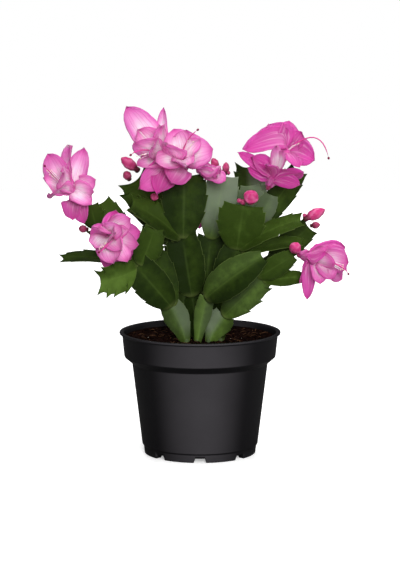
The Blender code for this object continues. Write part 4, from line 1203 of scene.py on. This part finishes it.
BLOOMS = {
    "bloom_far_left": [Flower(
        Seat("a8", 0.0, closer=0.4), (-0.78, -0.3, 0.55), 18, 0.4, 0.9,
        ((12.5, (-77, -12, 206), 15, 0.2, 0.7), (14, (-78, -18, 197), 15, 0.2, 0.75),
         (15.5, (-79, -21, 189), 14, 0.2, 0.9), (10, (-94, -17, 177), 17, 0.2, 0.8),
         (8, (-85, -17, 174), 14, 0.3, 0.5), (9, (-98, 12, 186), 17, 0.2),
         (16, (-85, -7, 229), 16, 0.2, 0.8), (16, (-95, 0, 230), 20, 0.3), (16, (-112, -2, 224), 20, 0.4),
         (16, (-115, -9, 207), 20, 0.4), (16, (-109, -22, 196), 20, 0.4),
         (15, (-99, -27, 212), 16, 0.4, 0.65), (16, (-103, 13, 214), 19, 0.3)),
        (8, (-112, -16, 214)), ((-106, -12, 206), (-113, -18, 216)))],
    "bloom_left": [Flower(
        Seat("a9", 0.0, closer=0.2), (-0.35, -0.92, 0.15), 15, 0.3, 1.0,
        ((9, (-61, -36, 186), 16, 0.25, 0.6), (9, (-80, -36, 166), 18, 0.3),
         (9, (-67, -40, 142), 17, 0.3, 0.6), (9, (-43, -33, 170), 18, 0.3), (9, (-50, -37, 150), 18, 0.3),
         (14, (-50, -43, 181), 18, 0.3, 0.7), (14, (-44, -45, 162), 18, 0.4, 0.6),
         (14, (-52, -49, 150), 18, 0.4, 0.6), (14, (-62, -53, 149), 20, 0.5, 0.7),
         (14, (-76, -50, 160), 17, 0.5), (14, (-72, -49, 176), 17, 0.5),
         (15, (-57, -55, 176), 15, 0.7, 0.6), (13, (-61, -57, 172), 14, 0.5, 0.5),
         (13, (-57, -57, 160), 14, 0.4, 0.6)),
        (7, (-71, -56, 160)), ((-66, -58, 162), (-72, -56, 158)))],
    "bloom_top_bunch": [Flower(
        Seat("m2", -0.3, closer=0.5), (-0.6, -0.35, 0.72), 21, 0.5, 1.0,
        ((19, (-54, -8, 259), 21, 0.3), (18, (-27, -2, 258), 9, 0.3, 0.35),
         (17, (-48, -18, 235), 20, 0.3, 0.8), (15, (-46, -16, 217), 17, 0.1, 0.7),
         (19, (-29, -16, 246), 16, 0.4), (18, (-46, -6, 242), 21, 0.3), (19, (-35, -27, 231), 17, 0.4, 0.7),
         (8, (-44, -22, 200), 20, 0.1, 0.9), (9, (-31, -22, 197), 19, 0.1, 0.9)),
        (5, (-46, -22, 223)), ((-42, -22, 232), (-50, -22, 225))),
    Flower(
        Seat("m2", 0.1, closer=0.5), (-0.15, -0.72, 0.62), 19, 0.5, 1.0,
        ((16, (9, -18, 229), 24, 0.3, 0.7), (16, (-19, -12, 243), 22, 0.3), (17, (-1, -14, 238), 20, 0.3),
         (16, (-10, -7, 242), 20, 0.3), (10, (-21, -24, 205), 20, 0.1, 0.8),
         (10, (8, -8, 224), 16, 0.3, 0.6), (15, (-33, -23, 219), 18, 0.2, 0.7),
         (16, (-10, -31, 217), 16, 0.4, 0.7), (17, (-24, -27, 233), 18, 0.4)),
        (5, (-6, -24, 236)), ((-12, -24, 236), (-2, -25, 243)))],
    "bloom_right": [Flower(
        Seat("h3", -1.0, closer=0.95), (0.42, -0.2, 0.88), 36, 0.6, 0.16,
        ((11, (28, -12, 226), 10, 0.1, 0.7), (11.5, (38, -8, 222), 15, 0.15, 0.8),
         (11, (35, -8, 214), 12, 0.1, 0.8), (10, (76, -12, 211), 13, 0.2, 0.7),
         (9, (73, -14, 202), 12, 0.2, 0.8), (11, (49, -20, 218), 10, 0.2, 0.8),
         (14, (56, -16, 231), 9, 0.2, 0.9), (14, (61, -15, 228), 8, 0.3, 0.8),
         (33, (31, -8, 228), 18, 0.6, 0.8), (34, (41, -2, 238), 17, 0.6, 0.8),
         (33, (51, 4, 245), 18, 0.5, 0.7), (34, (66, 4, 248), 18, 0.4, 0.75),
         (33, (75, 0, 240), 15, 0.4, 0.6), (33, (84, -11, 220), 19, 0.3, 0.9),
         (33, (81, 0, 231), 15, 0.4, 0.4), (32, (73, -14, 215), 13, 0.3, 0.9)),
        (3, (72, -10, 232)), ((88, -10, 249), (94, -12, 222)))],
    "bloom_lower_right": [Flower(
        Seat("r3", 0.2, closer=0.3), (0.85, -0.45, -0.1), 18, 0.4, 0.6,
        ((8, (106, -26, 158), 18, 0.2, 0.2), (8, (78, -35, 120), 10, 0.15, 0.9),
         (9, (73, -32, 131.5), 6, 0.15, 0.6), (9, (107, -20, 140), 18, 0.3),
         (9, (90, -44, 157), 15, 0.3, 0.3), (15, (87, -44, 133), 13, 0.2, 0.9),
         (15, (98, -45, 148), 13, 0.2, 0.7), (15, (98, -41, 137), 15, 0.3, 0.8),
         (15, (108, -36, 148), 19, 0.4), (15, (106, -26, 152), 19, 0.4), (15, (104, -26, 134), 18, 0.3)),
        (6, (106, -46, 144)), ((104, -50, 148), (107, -46, 141)))],
    "bloom_back": [Flower(
        Seat("d5", 0.0, closer=0.4), (0.0, 0.93, 0.3), 17, 0.0, 0.8,
        ((9, (-11, 84, 194), 20, 0.3), (9, (-27, 84, 180), 20, 0.3), (9, (-20, 86, 160), 20, 0.3),
         (9, (0, 86, 158), 20, 0.3), (9, (11, 84, 176), 20, 0.3), (15, (0, 98, 190), 20, 0.4),
         (15, (-21, 98, 184), 20, 0.4), (15, (-16, 100, 165), 20, 0.4), (15, (5, 100, 168), 20, 0.4),
         (16, (-10, 108, 184), 16, 0.6)),
        (12, (-5, 107, 179)), ((-7, 102, 183), (-5, 110, 178)))],
}

# %% Build the blooms
# A tube's outline from its foot to its mouth, as (share of its length, radius in mm)
TUBE_OUTLINE = ((0.0, 0.0), (0.02, 1.5), (0.13, 2.3), (0.27, 1.7), (0.6, 3.0), (0.97, 3.5), (1.0, 0.0))
TUBE_FOOT_RADIUS = 1.6 * MM
TUBE_SINK = 0.5 * MM  # how far a tube reaches into its foot
TUBE_RIBS = 31.4  # radians round the tube: five ribs
TUBE_RIB_DEPTH = 0.05
SCALE_PETALS = 5
NARROW_WIDTH = 10  # inner petals under this many millimetres wide wrap the tube, and are the palest
NARROW_PALENESS = 1.3
INNER_START = 12  # petals that leave the tube beyond this many millimetres are the pale inner ones
PETAL_TWIST = 22  # degrees that a petal turns on its own length, at most
TWIST_STEP = 2.4


def add_tube(shape, base, axis, length, dice):
    """The tube with the scale petals that press against it."""
    start = base - axis * TUBE_SINK
    side = axis.orthogonal().normalized()

    def radius(share, turn):
        return MM * through(TUBE_OUTLINE, share) * (1 + TUBE_RIB_DEPTH * cos(turn * TUBE_RIBS))

    add_round(shape, 24, 20, lambda share: start + axis * (length + TUBE_SINK) * share, radius, side,
              tone=-0.5, pale=lambda share, turn: eased((share - 0.3) * 2) * 0.9,
              foot=lambda share, turn: 1 - eased((share - 0.12) / 0.25))
    for number in range(SCALE_PETALS):
        angle = number * 2 * pi / SCALE_PETALS + dice.uniform(-0.3, 0.3)
        out = Matrix.Rotation(angle, 3, axis) @ side
        height = dice.uniform(3.5, 6.0)
        tip = base + axis * (height + dice.uniform(5, 7)) * MM + out * dice.uniform(4.5, 6.5) * MM
        petal = Petal(height - 1.5, tip / MM, dice.uniform(5.0, 6.5), 0.3)
        add_petal(shape, base, axis, petal, dice, 0.2)


def add_flower(shape, flower, dice):
    base, axis = seated(flower, TUBE_FOOT_RADIUS)
    add_tube(shape, base, axis, flower.tube * MM, dice)
    for number, row in enumerate(flower.petals):
        petal = Petal(*row)
        inner = petal.start > INNER_START
        paleness = (dice.uniform(0.75, 1.1) if inner else dice.uniform(0.1, 0.35)) * flower.paleness
        if inner and petal.width < NARROW_WIDTH:
            paleness = NARROW_PALENESS
        twist = PETAL_TWIST * sin(number * TWIST_STEP)
        add_petal(shape, base, axis, petal, dice, paleness, flower.open_share, twist)


for bloom_name, flowers in BLOOMS.items():
    shape = start_shape()
    for number, flower in enumerate(flowers):
        add_flower(shape, flower, random.Random(bloom_name + str(number)))
    piece = finish_piece(bloom_name + "_petals", shape, petal_finish, "petal", bloom_name)
    print(piece.name, "has", len(piece.data.polygons), "faces")

# %% [markdown]
# ## Stamens and styles
# From the mouth of each tube stands a brush of thin white threads, the stamens, each with a cream anther.
# One longer pink thread, the style, ends in a dark stigma. They are round bodies rolled along a bent path.

# %% Add the threads
# Thread(radius, length and radius of its swollen head, 0 for a stamen's white or 1 for a style's pink)
Thread = namedtuple("Thread", "radius head_length head_radius pink")
STAMEN = Thread(0.28 * MM, 1.2 * MM, 0.42 * MM, 0.0)
STYLE = Thread(0.476 * MM, 2.4 * MM, 0.9 * MM, 1.0)
THREAD_START = 3  # millimetres that the threads start below the mouth of the tube
THREAD_TAPER = 8
MOUTH_SPREAD = 1.3 * MM
BEND_SPREAD = 0.8 * MM
END_SPREAD = 2.2 * MM
THREAD_BOW = 0.12


def add_thread(shape, start, control, end, kind):
    """A thread with a swollen head, bent towards a control point."""
    def path(share):
        return curved(start, control, end, share)

    across = (end - start).orthogonal().normalized()
    add_round(shape, 12, 5, path,
              lambda share, turn: kind.radius * min(1.0, THREAD_TAPER * share, THREAD_TAPER * (1 - share)),
              across, pale=kind.pink)
    heading = (path(1.0) - path(0.97)).normalized()
    top = end - heading * kind.head_length * 0.3
    add_round(shape, 6, 8, lambda share: top + heading * kind.head_length * share,
              lambda share, turn: kind.head_radius * sin(pi * share) ** 0.7,
              across, pale=kind.pink, foot=1.0)


def add_threads(shape, flower, dice):
    base, axis = seated(flower, TUBE_FOOT_RADIUS)
    mouth = base + axis * (flower.tube - THREAD_START) * MM
    count, aim = flower.stamens
    reach = Vector(aim) * MM - mouth
    for stamen in range(count):
        spread = Vector([dice.uniform(-1, 1) for axis_number in range(3)])
        start = mouth + spread.cross(axis) * MOUTH_SPREAD
        end = mouth + reach * dice.uniform(0.72, 0.95) + spread * END_SPREAD
        control = (start + end) / 2 + axis * reach.length * THREAD_BOW + spread * BEND_SPREAD
        add_thread(shape, start, control, end, STAMEN)
    bend, tip = (Vector(place) * MM for place in flower.style)
    add_thread(shape, mouth, bend, tip, STYLE)


look = Finish("thread_white", "f2dbe6", 1500, 200)
pink = look.attribute("pale")
threads = look.mixed(pink, look.mixed(look.clouds, "f6e6ee", "f3d3e4"), "cf3f8f")
heads = look.mixed(pink, "eee0c0", "7a1a40")
colour = look.mixed(look.attribute("foot"), threads, heads)
thread_finish = look.done(colour, look.scaled(look.grain, 0.2, 0.4), inner_light=(0.2, (1.0, 0.6, 0.8)))

for bloom_name, flowers in BLOOMS.items():
    shape = start_shape()
    for number, flower in enumerate(flowers):
        add_threads(shape, flower, random.Random(bloom_name + "threads" + str(number)))
    finish_piece(bloom_name + "_threads", shape, thread_finish, "petal")
print("stamens:", sum(flower.stamens[0] for flowers in BLOOMS.values() for flower in flowers))

# %% [markdown]
# ## The buds
# A bud is a drop of tightly wrapped petals on a short brown-red foot. It is rolled from its outline, and
# the edge of each wrapped petal makes a low step that winds up its side. One bud is half open: its outer
# petals are already loose, and lie round its body from the foot to the point. Tiny buds have only just come
# out.

# %% Finish the buds
look = Finish("bud_pink", "e0569f", 1600, 160)
along = look.sheet_places()[0]
colour = look.layered(
    look.mixed(look.clouds, "b02562", "cb4684"),
    (look.ranged(look.attribute("tone"), 0.3, 0.95), 0.4, "dd86ae"),  # the free edges of the wrapped petals
    (look.ranged(along, 0.75, 1.0), 0.6, "a82363"),  # the point
    (look.attribute("pale"), 0.65, "7a3442"),  # the brown of a bud that is still young
    (look.attribute("foot"), 1.0, "42151b"),
)
bud_finish = look.done(colour, look.scaled(look.grain, 0.15, 0.33), bump=(look.grain, 0.2, 0.3),
                       inner_light=(0.2, (2.0, 0.8, 1.4)), Coat_Weight=0.3, Coat_Roughness=0.25)
print("bud nodes:", len(look.tree.nodes))

# %% Shape the buds
# Bud(seat, axis, length, width, how brown it is), in millimetres
Bud = namedtuple("Bud", "seat axis length width brown", defaults=(0.0,))
BUDS = {
    "bud_top_left": Bud(Seat("m4", 0.8, closer=1.2), (-0.78, -0.3, 0.62), 18, 8.5, 0.2),
    "bud_top_left_small": Bud(Seat("m4", -0.4, closer=0.45), (-0.35, -0.6, 0.7), 9.5, 6.5, 0.9),
    "bud_left_middle": Bud(Seat("m3", 1.0, 0.67, -0.05), (0.2, -0.7, 0.65), 6.5, 6, 0.3),
    "bud_left_brown": Bud(Seat("a7", -1.0, closer=0.3), (-0.85, -0.4, 0.15), 8, 6, 0.8),
    "bud_half_open": Bud(Seat("m2", 1.0, closer=0.65), (0.74, -0.66, -0.1), 24, 11),
    "bud_middle_left": Bud(Seat("g2", -1.0, closer=0.4), (-0.45, -0.15, 0.9), 10, 6, 0.55),
    "bud_middle_right": Bud(Seat("g2", 0.0), (0.05, -0.1, 1.0), 10, 5.5, 0.65),
    "bud_round": Bud(Seat("v2", 0.5, closer=0.8), (0.1, -0.8, 0.6), 13, 11),
    "bud_right_long": Bud(Seat("v3", 0.0, closer=-0.25), (0.85, -0.1, 0.42), 18, 8.5),
    "bud_right_small": Bud(Seat("w2", 0.0), (0.95, -0.2, 0.15), 8, 5.5, 0.75),
    "bud_lower_right": Bud(Seat("r3", -0.8, closer=-0.1), (-0.1, -0.98, 0.0), 11, 8.5),
    "bud_back_top": Bud(Seat("d3", 0.0, closer=0.2), (0.0, 0.4, 0.9), 11, 6.5, 0.4),
    "bud_back_middle": Bud(Seat("e3", 0.0, closer=0.3), (0.1, 0.5, 0.85), 12, 7),
    "bud_back_right": Bud(Seat("e4", 0.0, closer=0.2), (0.75, 0.5, 0.4), 13, 7.5),
}
TINY_BROWN = 0.65
TINY_BUDS = (
    Bud(Seat("g2", -0.75), (-0.2, -0.3, 1.0), 3.2, 2.6, TINY_BROWN),
    Bud(Seat("g2", -0.5), (0.0, -0.5, 1.0), 2.6, 2.2, TINY_BROWN),
    Bud(Seat("g2", -0.25), (0.1, -0.3, 1.0), 3.0, 2.4, TINY_BROWN),
    Bud(Seat("g2", 0.35), (0.1, -0.4, 1.0), 3.4, 2.6, TINY_BROWN),
    Bud(Seat("v2", 0.0), (-0.2, -0.6, 0.9), 5.0, 4.2, TINY_BROWN),
    Bud(Seat("v2", -0.35), (-0.3, -0.5, 0.9), 4.4, 3.6, TINY_BROWN),
    Bud(Seat("v3", -0.5), (0.3, -0.6, 0.6), 4.0, 3.4, TINY_BROWN),
)
TINY_FOOT = 0.4 * MM
BUD_OUTLINE = ((0.0, 0.0), (0.015, 0.38), (0.09, 0.56), (0.19, 0.5), (0.38, 0.88), (0.6, 1.0), (0.82, 0.72),
               (0.94, 0.36), (1.0, 0.0))
BUD_SINK = 0.4 * MM
BUD_FOOT_SHARE = 0.4
BUD_WRAPS = 4
WRAP_WINDING = 1.3
WRAP_HEIGHT = 0.09
HALF_OPEN = "bud_half_open"
HALF_OPEN_PETALS = 4
HALF_OPEN_PETAL_WIDTH = 1.15
HALF_OPEN_CORE = (0.9, 0.62)  # shares of the bud's length and width


def wrap_step(share, turn):
    """The place on the petal that is on top: 0 at its hidden edge, 1 at its free one."""
    return (turn * BUD_WRAPS + share * WRAP_WINDING) % 1.0


def add_bud(shape, base, axis, length, width, brown):
    start = base - axis * BUD_SINK

    def radius(share, turn):
        step = 1 + WRAP_HEIGHT * (wrap_step(share, turn) - 0.5) * eased((share - 0.2) * 3)
        return width * MM / 2 * through(BUD_OUTLINE, share) * step

    add_round(shape, 26, 32, lambda share: start + axis * length * MM * share, radius,
              axis.orthogonal().normalized(), tone=wrap_step, pale=brown,
              foot=lambda share, turn: 1 - eased((share - 0.12) / (0.3 + 0.3 * brown)))


def add_half_open(shape, base, axis, length, width, dice):
    """A bud whose outer petals are already loose."""
    side = axis.orthogonal().normalized()
    for number in range(HALF_OPEN_PETALS):
        out = Matrix.Rotation(number * 2 * pi / HALF_OPEN_PETALS, 3, axis) @ side
        reach = dice.uniform(0.85, 1.1) * length
        tip = base + (axis * reach + out * dice.uniform(0.25, 0.5) * width) * MM
        petal = Petal(2.0, tip / MM, width * HALF_OPEN_PETAL_WIDTH, 0.5)
        add_petal(shape, base, axis, petal, dice, dice.uniform(0.6, 1.0))
    add_bud(shape, base, axis, length * HALF_OPEN_CORE[0], width * HALF_OPEN_CORE[1], 0.0)


for bud_name, bud in BUDS.items():
    place = seated(bud, BUD_FOOT_SHARE * bud.width * MM / 2)
    shape = start_shape()
    if bud_name == HALF_OPEN:
        add_half_open(shape, *place, bud.length, bud.width, random.Random(bud_name))
    else:
        add_bud(shape, *place, bud.length, bud.width, bud.brown)
    finish = petal_finish if bud_name == HALF_OPEN else bud_finish
    finish_piece(bud_name + "_petals", shape, finish, "bud", bud_name)

tiny_shape = start_shape()
for bud in TINY_BUDS:
    add_bud(tiny_shape, *seated(bud, TINY_FOOT), bud.length, bud.width, bud.brown)
finish_piece("tiny_buds", tiny_shape, bud_finish, "bud")
print(len(BUDS), "buds and", len(TINY_BUDS), "tiny buds")

# %% [markdown]
# ## The size
# The finished plant has to fill the same space as the imported model. The box of the imported model is
# written down.

# %% Write the packed model's box
print("packed box:", [[round(v / MM, 1) for v in corner] for corner in cad_box])
